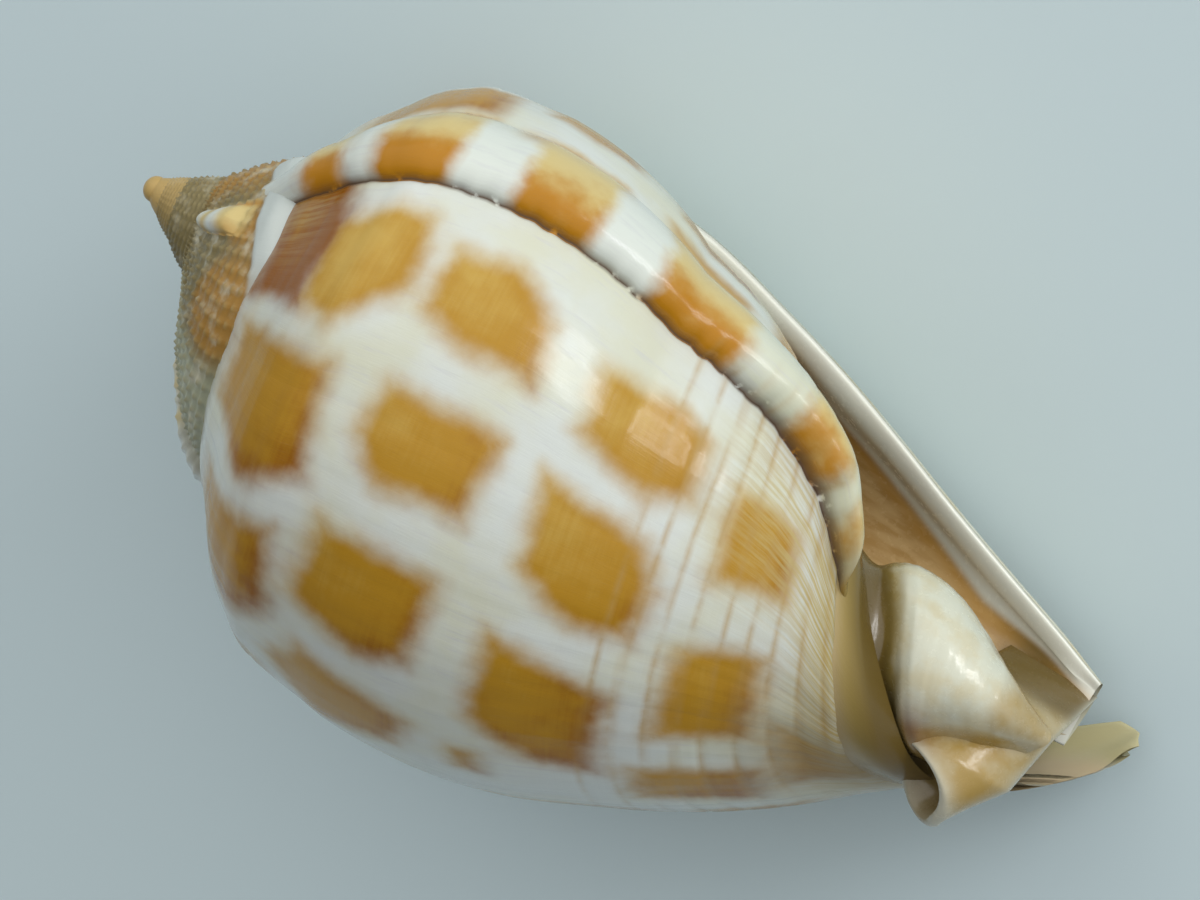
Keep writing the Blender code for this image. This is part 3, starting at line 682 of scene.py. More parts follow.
def canal_grid():
    """The canal: out along -Y, round the rim of its notch and back inside."""
    turn = np.linspace(0.0, 2.0 * math.pi, CANAL_POINTS, endpoint=False)
    end = CANAL_END_Y + (CANAL_END_SLANT[0] * np.cos(turn) + CANAL_END_SLANT[1] * np.sin(turn))
    start = CANAL_Y[-1]

    def ring(y, wall):
        """One ring of the tube at y, drawn in by wall."""
        depth = np.interp(y, CANAL_Y, CANAL_DEPTH)
        half_long = np.interp(y, CANAL_Y, CANAL_HALF_LONG) - wall
        x = np.interp(y, CANAL_Y, CANAL_X)
        half_deep = np.interp(y, CANAL_Y, CANAL_HALF_DEEP) - wall
        return np.stack([x + half_deep * np.sin(turn), y + 0 * turn, -(depth + half_long * np.cos(turn))], -1)

    out, rim, back = CANAL_RINGS
    rings = [ring(start + (end - start) * k, 0.0) for k in np.linspace(0.0, 1.0, out)]
    for k in np.linspace(0.0, math.pi, rim)[1:]:
        rings.append(ring(end - CANAL_RIM_BULGE * math.sin(k), 0.5 * CANAL_WALL * (1.0 - math.cos(k))))
    rings += [ring(end + (start - end) * k, CANAL_WALL) for k in np.linspace(0.0, 1.0, back)[1:]]
    points = np.array(rings)
    number = np.arange(len(rings))[:, None]
    middle = out + (rim - 1) // 2
    orange, purple = front_tints(points)
    near_rim = bump(number, middle - 2.0, 5.0)
    # Painted shade: olive darkening toward the shield end of the canal
    shade = 0.35 * ease(points[..., 1], -1.5, 0.8)
    # Painted shade: dark inside the tube and at its end by the shield
    murk = np.maximum(0.8 * (number >= middle), ease(points[..., 1], 0.7, 2.0))
    far = bump(turn, math.pi * 2.0, 0.35) + bump(turn, 0.0, 0.35)
    return Grid(points, closed=True, flip=True, tint=orange, purple=purple,
                pale=np.maximum(near_rim, 0.9 * far), olive=shade * (1.0 - far), murk=murk)


def shield_grid():
    """The shield: a rolled rim along its free edge, folds near the opening on its lower side."""
    along, across = SHIELD_POINTS
    rows = np.stack([spline([(x, y, -depth) for x, y in edge], across) for depth, edge in SHIELD])
    middle = np.stack([spline(rows[:, j], along, 4) for j in range(across)], axis=1)
    normal = np.cross(np.gradient(middle, axis=0), np.gradient(middle, axis=1))
    normal /= np.linalg.norm(normal, axis=-1, keepdims=True)
    v = np.linspace(0.0, 1.0, across)[None]
    length = np.linalg.norm(np.diff(middle, axis=1), axis=-1).sum(axis=1)[:, None]
    depth = -middle[..., 2]
    from_rim = v * length
    rim_wide = np.interp(depth, RIM_DEPTH, RIM_WIDTH)
    edge = np.minimum(from_rim, length - from_rim)
    thin = np.sqrt(np.sin(0.5 * math.pi * np.clip(edge / SHIELD_EDGE_ROUNDING, 0.0, 1.0)))
    roll = RIM_ROLL * bump(from_rim, 0.40 * rim_wide, 0.5 * rim_wide)
    ends = ease(depth, 16.5, 19.0) * (1.0 - ease(depth, 65.0, 66.8))
    folds = np.maximum(0.0, np.sin(2.0 * math.pi * (depth + FOLD_SLANT * from_rim) / FOLD_PITCH)) ** 1.5
    folds = folds * ease(v, 0.3, 0.6) * (1.0 - ease(v, 0.93, 1.0)) * ease(depth, 35.0, 42.0)
    folds = folds * (1.0 - ease(depth, 58.0, 63.0))
    below = thin * (SHIELD_HALF_THICK[0] + FOLD_HEIGHT * folds)
    above = thin * (SHIELD_HALF_THICK[1] + roll * ends)
    front = middle + normal * below[..., None]
    back = middle - normal * above[..., None]
    rim = np.maximum(1.0 - ease(from_rim / rim_wide, 0.85, 1.12), ease(depth, 65.6, 66.3))
    border = bump(from_rim, rim_wide * 1.15, 0.6)
    # Painted shade: the dark hole where the fasciole meets the shield
    hole = bump(depth, 62.6, 2.2) * ease(middle[..., 1], -0.5, 1.5)

    def on_back(value):
        """A value of the back only, for both sides."""
        return np.concatenate([np.zeros_like(depth), value[:, ::-1]], axis=1)

    return Grid(np.concatenate([front, back[:, ::-1]], axis=1), closed=True, tint=on_back(1.0 - rim),
                rim=on_back(rim), border=on_back(0.5 * border * ease(depth, 30.0, 40.0)),
                deep=on_back(hole * (1.0 - rim)))


def inner_grid():
    """The axis side of the hollow in the last whorl."""
    along, across = HOLLOW_POINTS
    stages = np.linspace(HOLLOW_FROM, LIP_STAGE + HOLLOW_PAST_LIP, along)
    inner = spline(HOLLOW_INNER, across)
    angle = stages[:, None] + np.interp(inner[:, 1], EDGE_DEPTH, EDGE_ANGLE)[None]
    scale, dip = scale_at(angle)
    return Grid(place(angle, inner[None, :, 0] * scale * dip, inner[None, :, 1] * scale), flip=True)


def polygon_distance(x, y, corners):
    """Distance to the outline of a polygon, positive inside it."""
    near = np.full(x.shape, 1e9)
    inside = np.zeros(x.shape, bool)
    for (ax, ay), (bx, by) in zip(corners, corners[1:] + corners[:1]):
        ex, ey = bx - ax, by - ay
        t = np.clip(((x - ax) * ex + (y - ay) * ey) / (ex * ex + ey * ey), 0.0, 1.0)
        near = np.minimum(near, np.hypot(x - ax - t * ex, y - ay - t * ey))
        crosses = (ay > y) != (by > y)
        with np.errstate(divide="ignore", invalid="ignore"):
            inside ^= crosses & (x < ax + (y - ay) * ex / (by - ay if by != ay else TINY))
    return np.where(inside, near, -near)


# Length of one degree of growth near the middle of the last whorl
STAGE_MM = 0.36

# A distance that means far outside every mark
FAR_OUTSIDE = -9.0

# Blotches of the photographed side: tone from 0, pale, to 1, dark, and corners as (stage, depth)
BLOTCHES = [
    (0.95, [(-36, 12.4), (-36, 17.4), (-19, 18.7), (-3, 18.2), (-2, 13.4)]),
    (0.22, [(-22, 17.6), (-28, 21.3), (-26, 24.2), (-11, 25.1), (-1, 20.9), (-4, 17.6)]),
    (0.55, [(4, 14.2), (5, 22.4), (26, 23.8), (33, 19.0), (26, 14.6)]),
    (0.62, [(42, 15.5), (37, 22.9), (57, 24.0), (65, 20.0), (60, 15.5)]),
    (0.34, [(-22, 26.2), (-24, 31.0), (-17, 35.0), (-5, 35.3), (-5, 29.4), (-9, 26.0)]),
    (0.42, [(4, 26.2), (5, 35.2), (21, 34.6), (22, 28.2), (15, 25.6)]),
    (0.50, [(31, 25.6), (32, 34.6), (51, 34.0), (54, 30.2), (48, 25.0)]),
    (0.50, [(69, 23.8), (59, 26.6), (66, 34.6), (76, 33.4), (83, 27.0)]),
    (0.36, [(-17, 38.9), (-20, 44.9), (-17, 46.8), (-3, 47.3), (2, 44.2), (-3, 38.9)]),
    (0.40, [(6, 38.1), (9, 45.6), (18, 46.9), (31, 46.3), (32, 42.6), (24, 38.5)]),
    (0.58, [(37, 38.1), (45, 46.0), (71, 45.3), (69, 41.6), (58, 37.8)]),
    (0.50, [(69, 36.8), (69, 38.6), (77, 38.9), (77, 37.2)]),
    (0.40, [(-12, 49.5), (-18, 54.2), (3, 54.5), (12, 49.6)]),
    (0.46, [(28, 48.9), (21, 54.0), (52, 53.6), (57, 48.2)]),
    (0.62, [(68, 47.3), (67, 54.0), (87, 53.0), (84, 47.0)]),
    (0.66, [(44, 54.9), (47, 57.6), (72, 57.4), (78, 54.6)]),
]
BLOTCHES_FROM = -38.0

# The rule for the rest: rows of the checkerboard as (first depth, last depth, stage of a column,
# stage up to which the photograph shows the row)
ROWS = [(14.2, 23.7, 13.5, 67.0), (26.0, 34.8, 4.0, 84.0), (38.6, 46.4, -1.0, 78.0),
        (48.8, 54.0, 6.0, 88.0)]
COLUMNS = (-14, 6)
COLUMN_PERIOD = 31.5
COLUMN_WIDTH = 20.5
BLOTCH_BLEND = 0.5
BLOTCH_REACH = 4.0


def checker_blotches():
    """Blotches made by the rule, where the photograph shows none."""
    draw = np.random.default_rng(21)
    made = []
    for first, last, start, shown_until in ROWS:
        for column in range(*COLUMNS):
            shift, wide, up, tone = draw.uniform(-1.0, 1.0, 4)
            left = start + column * COLUMN_PERIOD + 2.5 * shift
            right = left + COLUMN_WIDTH + 2.0 * wide
            if right > BLOTCHES_FROM and left < shown_until:
                continue
            lean = 2.0 * draw.uniform(-1.0, 1.0, 4)
            low, high = first + 0.4 * up, last + 0.4 * tone
            made.append((0.48 + 0.12 * tone,
                         [(left + lean[0], low), (left + lean[1], high), (right + lean[2], high - 0.3),
                          (right + 1.5, 0.5 * (low + high)), (right + lean[3], low + 0.2)]))
    return made


def blotch_fields(stage, low):
    """Distance inside the blotches in mm, run together where two lie close, and the tone there."""
    weight = np.full(stage.shape, math.exp(FAR_OUTSIDE / BLOTCH_BLEND))
    toned = 0.5 * weight
    for base, corners in BLOTCHES + checker_blotches():
        placed = [(s * STAGE_MM, d) for s, d in corners]
        left, top = (min(v) for v in zip(*placed))
        right, bottom = (max(v) for v in zip(*placed))
        near = ((stage * STAGE_MM > left - BLOTCH_REACH) & (stage * STAGE_MM < right + BLOTCH_REACH)
                & (low > top - BLOTCH_REACH) & (low < bottom + BLOTCH_REACH))
        if not near.any():
            continue
        x, y = stage[near] * STAGE_MM, low[near]
        distance = polygon_distance(x, y, placed)
        cx, cy = (left + right) / 2.0, (top + bottom) / 2.0
        lean = 0.17 * (y - cy) / (bottom - cy) + 0.12 * (x - cx) / (right - cx)
        rim = 0.10 * bump(distance, 0.9, 0.7)
        share = np.exp(np.minimum(distance, 2.5) / BLOTCH_BLEND)
        weight[near] += share
        toned[near] += share * (base + lean + rim)
    return BLOTCH_BLEND * np.log(weight), toned / weight


# Bars across the ribs, as (first depth, last depth, tone)
BARS = [(14.0, 16.7, 0.8), (18.4, 23.5, 0.95), (27.9, 34.2, 0.72), (39.0, 46.0, 0.75), (50.7, 54.3, 0.62),
        (55.7, 57.0, 0.5), (57.9, 59.6, 0.75)]
LEFT_BARS = [(12.8, 13.6, 0.6), (14.4, 15.2, 0.7), (16.6, 17.6, 0.7)]
OLD_BARS = [(12.0, 13.4, 0.25), (14.4, 17.6, 0.42)]
LIP_BARS = [(16.0, 19.0, 0.8), (22.0, 26.5, 0.8), (30.5, 35.0, 0.75), (38.5, 42.5, 0.7), (46.0, 49.8, 0.7),
            (53.0, 56.0, 0.6)]


def bar_fields(stage, low):
    """Distance inside the bars of the ribs and the lip, and their tone."""
    bar = np.full(stage.shape, FAR_OUTSIDE)
    tone = np.zeros(stage.shape)
    for (edge, width, _), bars in zip(VARICES + [LIP_RIB], (BARS, LEFT_BARS, OLD_BARS, LIP_BARS)):
        behind = edge - stage
        within = (behind < width + 8.0) & (behind > (-60.0 if edge > 0 else -1.0))
        fade = 0.85 * ease(behind, width * 0.06, width * 0.54)
        strip = 0.45 * bump(behind, width * 0.98, 2.0)
        for first, last, depth_tone in bars:
            distance = np.minimum(low - first, last - low)
            distance = np.minimum(distance, (width + 1.0 - behind) * STAGE_MM * 0.8)
            better = within & (distance > bar)
            bar = np.where(better, distance, bar)
            tone = np.where(better, depth_tone * (1.0 - fade) + strip, tone)
    return bar, tone


def rib_fields(stage, low):
    """Where the ribs are white, and the dark line along the edge of the striped one."""
    white = ease(stage, 140.0, 146.0)
    for edge, width, _ in VARICES + [LIP_RIB]:
        behind = edge - stage
        band = ease(behind, -0.3, 0.3) * (1.0 - 0.75 * ease(behind, width * 0.55, width * 0.85))
        band = band * (1.0 - ease(behind, width * 0.9, width * 1.3))
        if edge < SHORT_RIB_BEFORE:
            band = old_rib_share(stage, low)
        white = np.maximum(white, band)
    thick = 0.42 + 0.25 * ease(low, 44.0, 50.0)
    return white, bump(VARICES[0][0] - stage, -0.35, thick)


def whorl_fields(stage, low, inside):
    """Everything the material of the whorls needs at each point."""
    mark, tone = blotch_fields(stage, low)
    bar, bar_tone = bar_fields(stage, low)
    white, dirt = rib_fields(stage, low)
    spire = 1.0 - ease(stage, *SPIRE_UNTIL)
    mark = np.where(stage > 150.0, FAR_OUTSIDE, mark) - 6.0 * spire
    dirt = np.maximum(dirt, 0.7 * spire * bump(low, 8.9, 0.55) * ease(stage, *TIP_UNTIL))
    front = 1.0 - ease(stage, *FRONT_DROP_UNTIL)
    # Olive toward the groove at the front, partly its own colour and partly painted shade
    olive = (0.45 * ease(low, 54.5, 57.6) + 0.55 * ease(low, 57.4, 59.4)) * front
    patch = ease(low, 14.0, 17.0) * bump(stage, -345.0, 13.0) + 0.5 * bump(stage, -420.0, 25.0)
    patch = patch + 1.2 * bump(stage, -378.0, 9.0) * ease(low, 15.6, 16.6)
    groove = np.max([bump(low, at, 0.17) for at in groove_places(stage)], axis=0)
    groove = groove * ease(stage, -45.0, -30.0) * (1.0 - ease(stage, 50.0, 110.0) * 0.7)
    stain = ease(low, 46.0, 53.0) * bump(stage, -18.0, 24.0)
    stain = stain + 0.8 * ease(low, 54.5, 57.5) * bump(stage, 30.0, 60.0)
    stain = stain + 0.5 * ease(low, 52.5, 57.5) * (1.0 - ease(stage, 90.0, 120.0)) * ease(stage, -60.0, -20.0)
    stain = stain + 0.5 * bump(low, 15.0, 1.8) * bump(stage, -28.0, 14.0)
    return dict(
        mark=mark, tone=tone, bar=bar, bar_tone=bar_tone, white=white, dirt=dirt, spire=spire, groove=groove,
        stage=stage, low=low, inside=inside, olive=olive, patch=patch, stain=stain,
        callus=callus_share(stage, low), tip=1.0 - ease(stage, *TIP_UNTIL),
        # Painted shade: darker at the front end of the whorl where it meets the groove
        bead=spire_cords(low) * spire_riblets(stage), murk=ease(low, 58.6, 60.4) * front,
        shade=ease(low, 50.0, 56.5) * bump(stage, 62.0, 34.0),
        lobe=ease(low, 55.5, 58.0) * ease(stage, 130.0, 142.0),
        pale=0.8 * ease(stage, -332.0, -318.0) * (1.0 - ease(stage, -285.0, -275.0)))


class Graph:
    """Short names for the nodes of one material or world."""

    def __init__(self, owner):
        owner.use_nodes = True
        self.owner = owner
        self.tree = owner.node_tree

    def put(self, socket, value):
        """Set a socket's value, or link it to another socket or to the field of that name."""
        if isinstance(value, str):
            value = self.field(value)
        if isinstance(value, bpy.types.NodeSocket):
            self.tree.links.new(value, socket)
        elif isinstance(value, tuple) and len(value) < len(socket.default_value):
            socket.default_value = (*value, 1.0)
        else:
            socket.default_value = value

    def node(self, kind, inputs):
        """A new node with its inputs, by name or number."""
        made = self.tree.nodes.new("ShaderNode" + kind)
        for name, value in inputs.items():
            self.put(made.inputs[name], value)
        return made

    def field(self, name, output="Fac"):
        """A value stored at the mesh points."""
        node = self.node("Attribute", {})
        node.attribute_name = name
        return node.outputs[output]

    def math(self, operation, a, b):
        """The result of a sum or another operation."""
        node = self.node("Math", {0: a, 1: b})
        node.operation = operation
        return node.outputs[0]

    def times(self, a, b):
        """The product of two values."""
        return self.math("MULTIPLY", a, b)

    def plus(self, a, b):
        """The sum of two values."""
        return self.math("ADD", a, b)

    def swing(self, noise, size):
        """A noise made to swing about zero."""
        return self.times(self.math("SUBTRACT", noise, 0.5), size)

    def mix(self, share, a, b):
        """A colour between a and b."""
        node = self.tree.nodes.new("ShaderNodeMix")
        node.data_type = "RGBA"
        self.put(node.inputs["Factor"], share)
        self.put(node.inputs[6], a)
        self.put(node.inputs[7], b)
        return node.outputs[2]

    def layers(self, colour, over):
        """A colour with others laid over it, each as (share, colour)."""
        for share, tint in over:
            colour = self.mix(share, colour, tint)
        return colour

    def span(self, value, low, high, start=0.0, end=1.0):
        """A smooth step from start at low to end at high."""
        node = self.node("MapRange", {"Value": value, "From Min": low, "From Max": high,
                                      "To Min": start, "To Max": end})
        node.interpolation_type = "SMOOTHSTEP"
        return node.outputs["Result"]

    def noise(self, where, scale, detail=4.0, roughness=0.5):
        """Soft random values from 0 to 1."""
        node = self.node("TexNoise", {"Vector": where, "Scale": scale, "Detail": detail,
                                      "Roughness": roughness})
        return node.outputs["Fac"]

    def stretch(self, where, scale):
        """Places scaled along each axis."""
        return self.node("Mapping", {"Vector": where, "Scale": scale}).outputs["Vector"]

    def finish(self, colour, rough, height, strength):
        """Colour, gloss and fine relief on the shader, and the material."""
        shader = self.tree.nodes["Principled BSDF"]
        self.put(shader.inputs["Base Color"], colour)
        self.put(shader.inputs["Roughness"], rough)
        self.put(shader.inputs["Coat Weight"], COAT)
        self.put(shader.inputs["Coat Roughness"], COAT_ROUGHNESS)
        relief = self.node("Bump", {"Height": height, "Strength": strength, "Distance": RELIEF_DEEP * MM})
        self.put(shader.inputs["Normal"], relief.outputs["Normal"])
        return self.owner


# Colours, all linear
BODY = (0.62, 0.645, 0.615)
BODY_WARM = (0.61, 0.61, 0.49)
BODY_STREAK = (0.52, 0.52, 0.545)
BLOTCH_PALE = (0.51, 0.325, 0.065)
BLOTCH_MIDDLE = (0.42, 0.215, 0.012)
BLOTCH_DARK = (0.25, 0.078, 0.0)
RIB_WHITE = (0.64, 0.67, 0.62)
SHADE_BROWN = (0.20, 0.13, 0.05)
CALLUS_WHITE = (0.52, 0.56, 0.54)
RIB_CREAM = (0.57, 0.57, 0.40)
BAR_PALE = (0.60, 0.47, 0.20)
BAR_DARK = (0.43, 0.18, 0.003)
DIRT = (0.07, 0.035, 0.015)
GOLD_DIRT = (0.42, 0.26, 0.08)
SPIRE_GREY = (0.19, 0.150, 0.062)
SPIRE_TAN = (0.34, 0.18, 0.035)
SPIRE_PALE = (0.40, 0.42, 0.30)
TIP_HONEY = (0.46, 0.31, 0.11)
INSIDE = (0.52, 0.40, 0.24)
STAIN = (0.50, 0.40, 0.17)
# Olive of the groove, partly its own colour and partly painted shade
GROOVE_OLIVE_AND_SHADE = (0.30, 0.215, 0.06)
# Painted shade colour for the groove, the canal and the hole by the shield
PAINTED_SHADE_BROWN = (0.13, 0.085, 0.02)
LOBE_GREY = (0.46, 0.41, 0.22)
SPIRE_BEAD = (0.37, 0.30, 0.14)
SPIRE_CREAM = (0.52, 0.48, 0.36)
CREAM = (0.60, 0.60, 0.49)
CREAM_WARM = (0.57, 0.52, 0.36)
SHIELD_BACK = (0.56, 0.37, 0.165)
SHIELD_BROWN = (0.44, 0.26, 0.09)
SHIELD_RIM = (0.80, 0.80, 0.72)
SHIELD_BORDER = (0.50, 0.25, 0.04)
FRONT_ORANGE = (0.36, 0.235, 0.06)
FRONT_PURPLE = (0.21, 0.105, 0.06)
RIM_GREY = (0.56, 0.56, 0.47)
FLOOR_BLUE = (0.59, 0.70, 0.735)
WORLD_LOW = (0.15, 0.165, 0.185)
WORLD_HIGH = (1.36, 1.38, 1.34)

# Gloss, and how deep the finest relief is, in millimetres
COAT = 0.15
COAT_ROUGHNESS = 0.08
WHORL_SPECULAR = 0.25
RELIEF_DEEP = 0.05


def whorl_material():
    """Glazed white with brown blotches, striped ribs, a beaded spire and stained grooves, and painted shade
    toward the groove at the front.
    """
    g = Graph(bpy.data.materials.new("glazed_whorls"))
    where = g.field("spot", "Vector")
    flat = g.node("CombineXYZ", {0: g.times("stage", STAGE_MM), 1: "low"}).outputs[0]
    coarse = g.noise(where, 0.16)
    cloudy = g.noise(where, 0.55)
    growth = g.noise(g.stretch(flat, (1.0, 0.10, 1.0)), 2.3, 5.0, 0.6)
    growth_fine = g.noise(g.stretch(flat, (1.0, 0.06, 1.0)), 9.0, 3.0, 0.6)
    spiral = g.noise(g.stretch(flat, (0.05, 1.0, 1.0)), 3.2, 3.0, 0.6)
    body = g.mix(g.span(coarse, 0.35, 0.7), BODY, BODY_WARM)
    body = g.mix(g.times(g.span(growth, 0.52, 0.75), 0.45), body, BODY_STREAK)
    body = g.mix(g.times(g.span(cloudy, 0.55, 0.8), 0.5), body, RIB_WHITE)
    wobble = g.swing(cloudy, 1.4)
    inside_blotch = g.times(g.span(g.plus("mark", wobble), -1.3, 1.3),
                            g.span(growth_fine, 0.1, 0.42, 0.96, 1.0))
    tone = g.plus(g.plus("tone", g.swing(spiral, 0.2)), g.swing(cloudy, 0.4))
    blotch = g.mix(g.span(tone, 0.05, 0.5), BLOTCH_PALE, BLOTCH_MIDDLE)
    blotch = g.mix(g.span(tone, 0.5, 1.0), blotch, BLOTCH_DARK)
    spire = g.mix(g.span(g.plus("patch", g.swing(coarse, 1.0)), 0.0, 0.55), SPIRE_GREY, SPIRE_TAN)
    spire = g.mix("pale", spire, SPIRE_PALE)
    spire = g.mix(g.span(cloudy, 0.5, 0.75), spire, SPIRE_CREAM)
    spire = g.mix(g.times("bead", 0.6), spire, SPIRE_BEAD)
    spire = g.mix("tip", spire, TIP_HONEY)
    rib = g.mix(g.times(g.span("low", 36.0, 54.0), 0.8), RIB_WHITE, RIB_CREAM)
    rib = g.mix(g.times(g.span(growth, 0.45, 0.7), 0.3), rib, BODY_STREAK)
    bar_share = g.span(g.plus("bar", g.times(wobble, 1.1)), -0.7, 0.9)
    bar_tone = g.plus("bar_tone", g.swing(cloudy, 0.7))
    bar = g.mix(g.span(bar_tone, 0.1, 0.75), BAR_PALE, BAR_DARK)
    stain = g.times(g.times("stain", g.span(growth, 0.35, 0.65)), 0.75)
    golden = g.times(g.times("groove", g.span(cloudy, 0.3, 0.6, 0.25, 1.0)), 0.6)
    dark = g.times("dirt", g.span(g.noise(where, 1.3), 0.25, 0.45))
    colour = g.layers(body, [
        (inside_blotch, blotch), (stain, STAIN), ("spire", spire), ("white", rib),
        ("callus", CALLUS_WHITE), (bar_share, bar), (golden, GOLD_DIRT),
        (g.times("inside", 0.9), INSIDE), ("olive", GROOVE_OLIVE_AND_SHADE),
        ("murk", PAINTED_SHADE_BROWN), (g.times("lobe", 0.9), LOBE_GREY),
        (g.times("shade", 0.6), SHADE_BROWN), (dark, DIRT)])
    rough = g.plus(g.times(growth_fine, 0.12), 0.13)
    rough = g.plus(rough, g.times("spire", 0.22))
    rough = g.plus(rough, g.times("dirt", 0.35))
    height = g.plus(g.times(growth, 0.5), g.times(growth_fine, 0.35))
    height = g.plus(height, g.times(spiral, 0.35))
    g.tree.nodes["Principled BSDF"].inputs["Specular IOR Level"].default_value = WHORL_SPECULAR
    return g.finish(colour, rough, height, 0.45)


def glaze(g, where, colour):
    """Fine gloss shared by the cream parts."""
    fine = g.noise(where, 2.2)
    return g.finish(colour, g.span(fine, 0.3, 0.7, 0.14, 0.30), fine, 0.2)


def front_material():
    """Cream with the orange band, the purple patch, the olive groove that is partly painted shade, and
    painted shade in the groove and the canal.
    """
    g = Graph(bpy.data.materials.new("glazed_front"))
    where = g.field("spot", "Vector")
    cloudy = g.noise(where, 0.5)
    colour = g.mix(g.span(cloudy, 0.4, 0.7), CREAM, CREAM_WARM)
    band = g.times("tint", g.span(cloudy, 0.25, 0.6, 0.7, 1.0))
    olive = g.times("olive", g.span(cloudy, 0.2, 0.6, 0.6, 1.0))
    return glaze(g, where, g.layers(colour, [
        (band, FRONT_ORANGE), (g.times("purple", 0.8), FRONT_PURPLE), (olive, GROOVE_OLIVE_AND_SHADE),
        ("murk", PAINTED_SHADE_BROWN), (g.times("pale", 0.8), RIM_GREY)]))


def shield_material():
    """Cream below, streaked tan above, with a pale rim and painted shade at the hole by the canal."""
    g = Graph(bpy.data.materials.new("glazed_shield"))
    where = g.field("spot", "Vector")
    cloudy = g.noise(where, 0.35)
    streaks = g.noise(g.stretch(where, (1.0, 1.0, 0.12)), 1.6)
    colour = g.mix(g.span(cloudy, 0.4, 0.7), CREAM, CREAM_WARM)
    back = g.mix(g.span(streaks, 0.35, 0.65), SHIELD_BACK, SHIELD_BROWN)
    return glaze(g, where, g.layers(colour, [
        ("tint", back), ("rim", SHIELD_RIM), ("border", SHIELD_BORDER),
        (g.times("deep", 0.8), PAINTED_SHADE_BROWN)]))


def inner_material():
    """Warm cream of the wall inside."""
    g = Graph(bpy.data.materials.new("glazed_inner"))
    where = g.field("spot", "Vector")
    return glaze(g, where, g.mix(g.span(g.noise(where, 0.35), 0.35, 0.65), CREAM_WARM, INSIDE))


def shift_to_cad(grids):
    """Millimetres to move the resting shell: centred in the CAD box and level with its top."""
    world = np.concatenate([g.points.reshape(-1, 3) for g in grids]) @ REST.T
    low, high = world.min(0), world.max(0)
    cad_low, cad_high = (np.array(v) / MM for v in CAD_BOX)
    middle = (cad_low + cad_high - low - high) / 2.0
    return np.array([middle[0], middle[1], cad_high[2] - high[2]])


def build_shell():
    """The five visible pieces, and how far the resting shell was moved."""
    older, last = whorl_grids()
    neck = neck_grid()
    canal = canal_grid()
    shield = shield_grid()
    shift = shift_to_cad([older, last, canal, shield])
    whorls_look = whorl_material()
    build_piece("shell_spire", [older, apex_grid()], whorls_look, shift)
    build_piece("shell_last_whorl", [last], whorls_look, shift)
    build_piece("shell_inner_wall", [inner_grid()], inner_material(), shift)
    build_piece("shell_front", [neck, canal], front_material(), shift)
    build_piece("shell_shield", [shield], shield_material(), shift)
    return shift


# The photograph: its size and the place of the apex in pixels, the scale, how the axis slopes in it and
# leans toward the viewer, in degrees, and the camera's distance in millimetres
PHOTO_SIZE = (1200.0, 900.0)
PHOTO_APEX = (139.0, 179.0)
MM_PER_PIXEL = 0.062
AXIS_SLOPE = 31.5
AXIS_LEAN = 8.0
CAMERA_DISTANCE = 350.0
SENSOR_WIDTH = 36.0

# Floor and lamps: half the floor's side in metres, and the lamps in the camera's axes in millimetres
FLOOR_HALF = 1.2
LAMP_AT = (190.0, 105.0, 350.0)
LAMP_COLUMN = (78.0, 0.0, -26.0)
LAMP_ROW = (0.0, 66.0, 0.0)
LAMP_SIZE = (68.0, 54.0)
LAMP_WATTS = 0.085
BRIGHT_SIDE = (0.30, 0.78, 0.50)


def photo_view():
    """Camera's axes (right, up, toward the viewer) and the middle of the picture, in the shell frame."""
    lean, slope = math.radians(AXIS_LEAN), math.radians(AXIS_SLOPE)
    toward = Vector((math.cos(lean), 0.0, -math.sin(lean)))
    front = Vector((-math.sin(lean), 0.0, -math.cos(lean)))
    side = Vector((0.0, 1.0, 0.0))
    right = math.cos(slope) * front + math.sin(slope) * side
    up = -(math.sin(slope) * front - math.cos(slope) * side)
    dx, dy = (size / 2.0 - apex for size, apex in zip(PHOTO_SIZE, PHOTO_APEX))
    along = (dx * math.cos(slope) + dy * math.sin(slope)) * MM_PER_PIXEL
    across = (dx * math.sin(slope) - dy * math.cos(slope)) * MM_PER_PIXEL
    return Matrix((right, up, toward)).transposed(), side * across + front * along


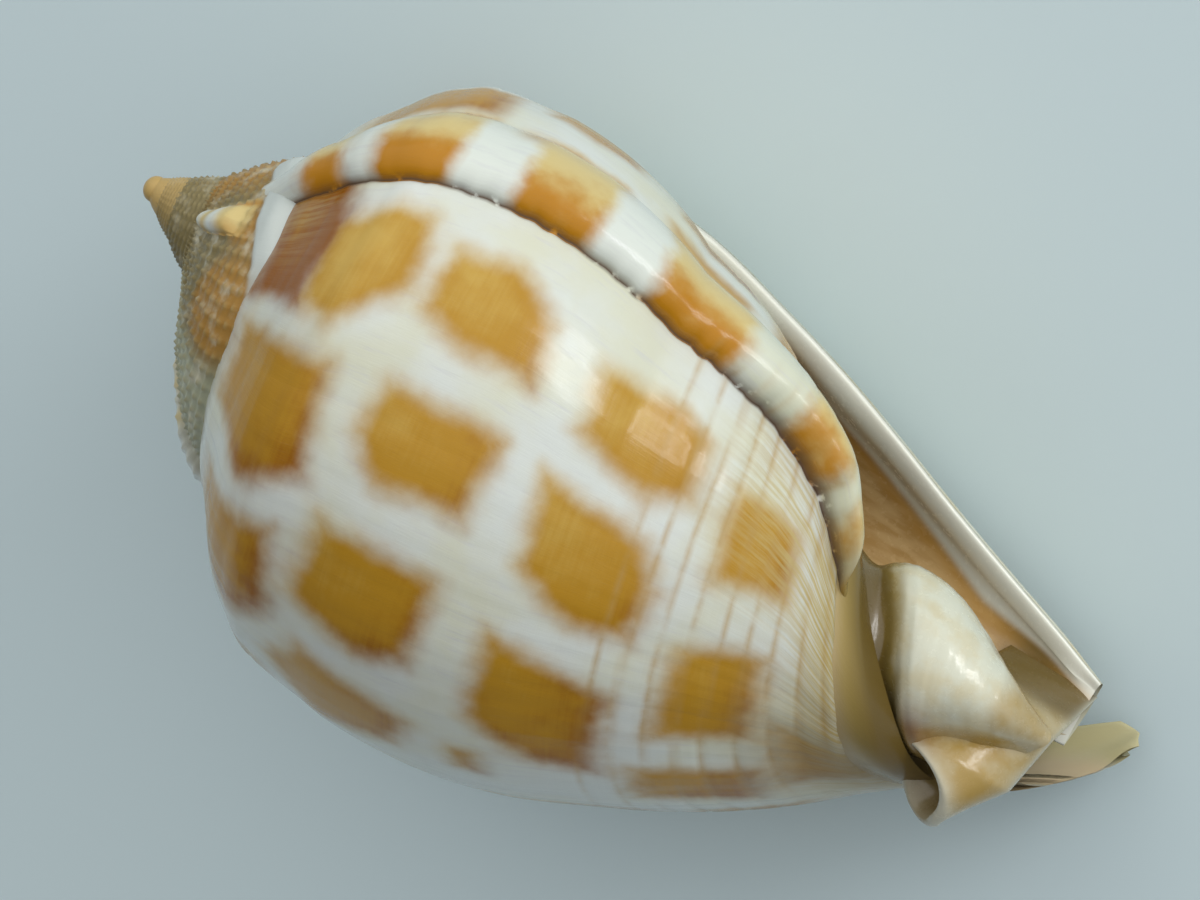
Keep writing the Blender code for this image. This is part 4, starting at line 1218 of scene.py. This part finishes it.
def photo_camera(axes, target, shift):
    """The camera of the photograph."""
    rest = resting_matrix()
    eye = target + axes.col[2] * CAMERA_DISTANCE
    where = (rest @ eye + Vector(shift)) * MM
    data = bpy.data.cameras.new("camera")
    data.sensor_width = SENSOR_WIDTH
    data.lens = SENSOR_WIDTH * (CAMERA_DISTANCE / MM_PER_PIXEL) / PHOTO_SIZE[0]
    data.clip_start = 0.01
    data.clip_end = 10.0
    camera = add_object("camera", data)
    camera.matrix_world = Matrix.Translation(where) @ (rest @ axes).to_4x4()
    bpy.context.scene.camera = camera


def soft_surroundings(basis):
    """Light from all round, brighter from above the picture and from the viewer's side."""
    g = Graph(bpy.data.worlds.new("world"))
    place = g.node("TexCoord", {}).outputs["Generated"]
    bright = (basis @ Vector(BRIGHT_SIDE)).normalized()
    dot = g.node("VectorMath", {0: place, 1: bright})
    dot.operation = "DOT_PRODUCT"
    share = g.span(dot.outputs["Value"], -0.55, 1.0)
    g.put(g.tree.nodes["Background"].inputs["Color"], g.mix(share, WORLD_LOW, WORLD_HIGH))
    bpy.context.scene.world = g.owner


def window_pane(name, basis, centre, offset):
    """A rectangular lamp in the camera's axes (right, up, toward) from the centre."""
    data = bpy.data.lights.new(name, "AREA")
    data.shape = "RECTANGLE"
    data.size = LAMP_SIZE[0] * MM
    data.size_y = LAMP_SIZE[1] * MM
    data.energy = LAMP_WATTS
    lamp = add_object(name, data)
    spot = centre + (basis @ offset) * MM
    aim = (centre - spot).to_track_quat("-Z", "Y").to_matrix().to_4x4()
    lamp.matrix_world = Matrix.Translation(spot) @ aim


def pale_floor():
    """The even pale blue ground."""
    mesh = bpy.data.meshes.new("floor")
    half = FLOOR_HALF
    mesh.from_pydata([(-half, -half, 0), (half, -half, 0), (half, half, 0), (-half, half, 0)], [],
                     [(0, 1, 2, 3)])
    g = Graph(bpy.data.materials.new("floor"))
    g.put(g.tree.nodes["Principled BSDF"].inputs["Base Color"], FLOOR_BLUE)
    mesh.materials.append(g.owner)
    return add_object("floor", mesh)


shift = build_shell()
floor = pale_floor()
axes, target = photo_view()
photo_camera(axes, target, shift)
basis = resting_matrix() @ axes
soft_surroundings(basis)
centre = (resting_matrix() @ target + Vector(shift)) * MM
for column in range(2):
    for row in range(3):
        offset = Vector(LAMP_AT) + column * Vector(LAMP_COLUMN) + row * Vector(LAMP_ROW)
        window_pane("window_%d%d" % (column, row), basis, centre, offset)

bpy.context.scene.view_settings.view_transform = "Standard"
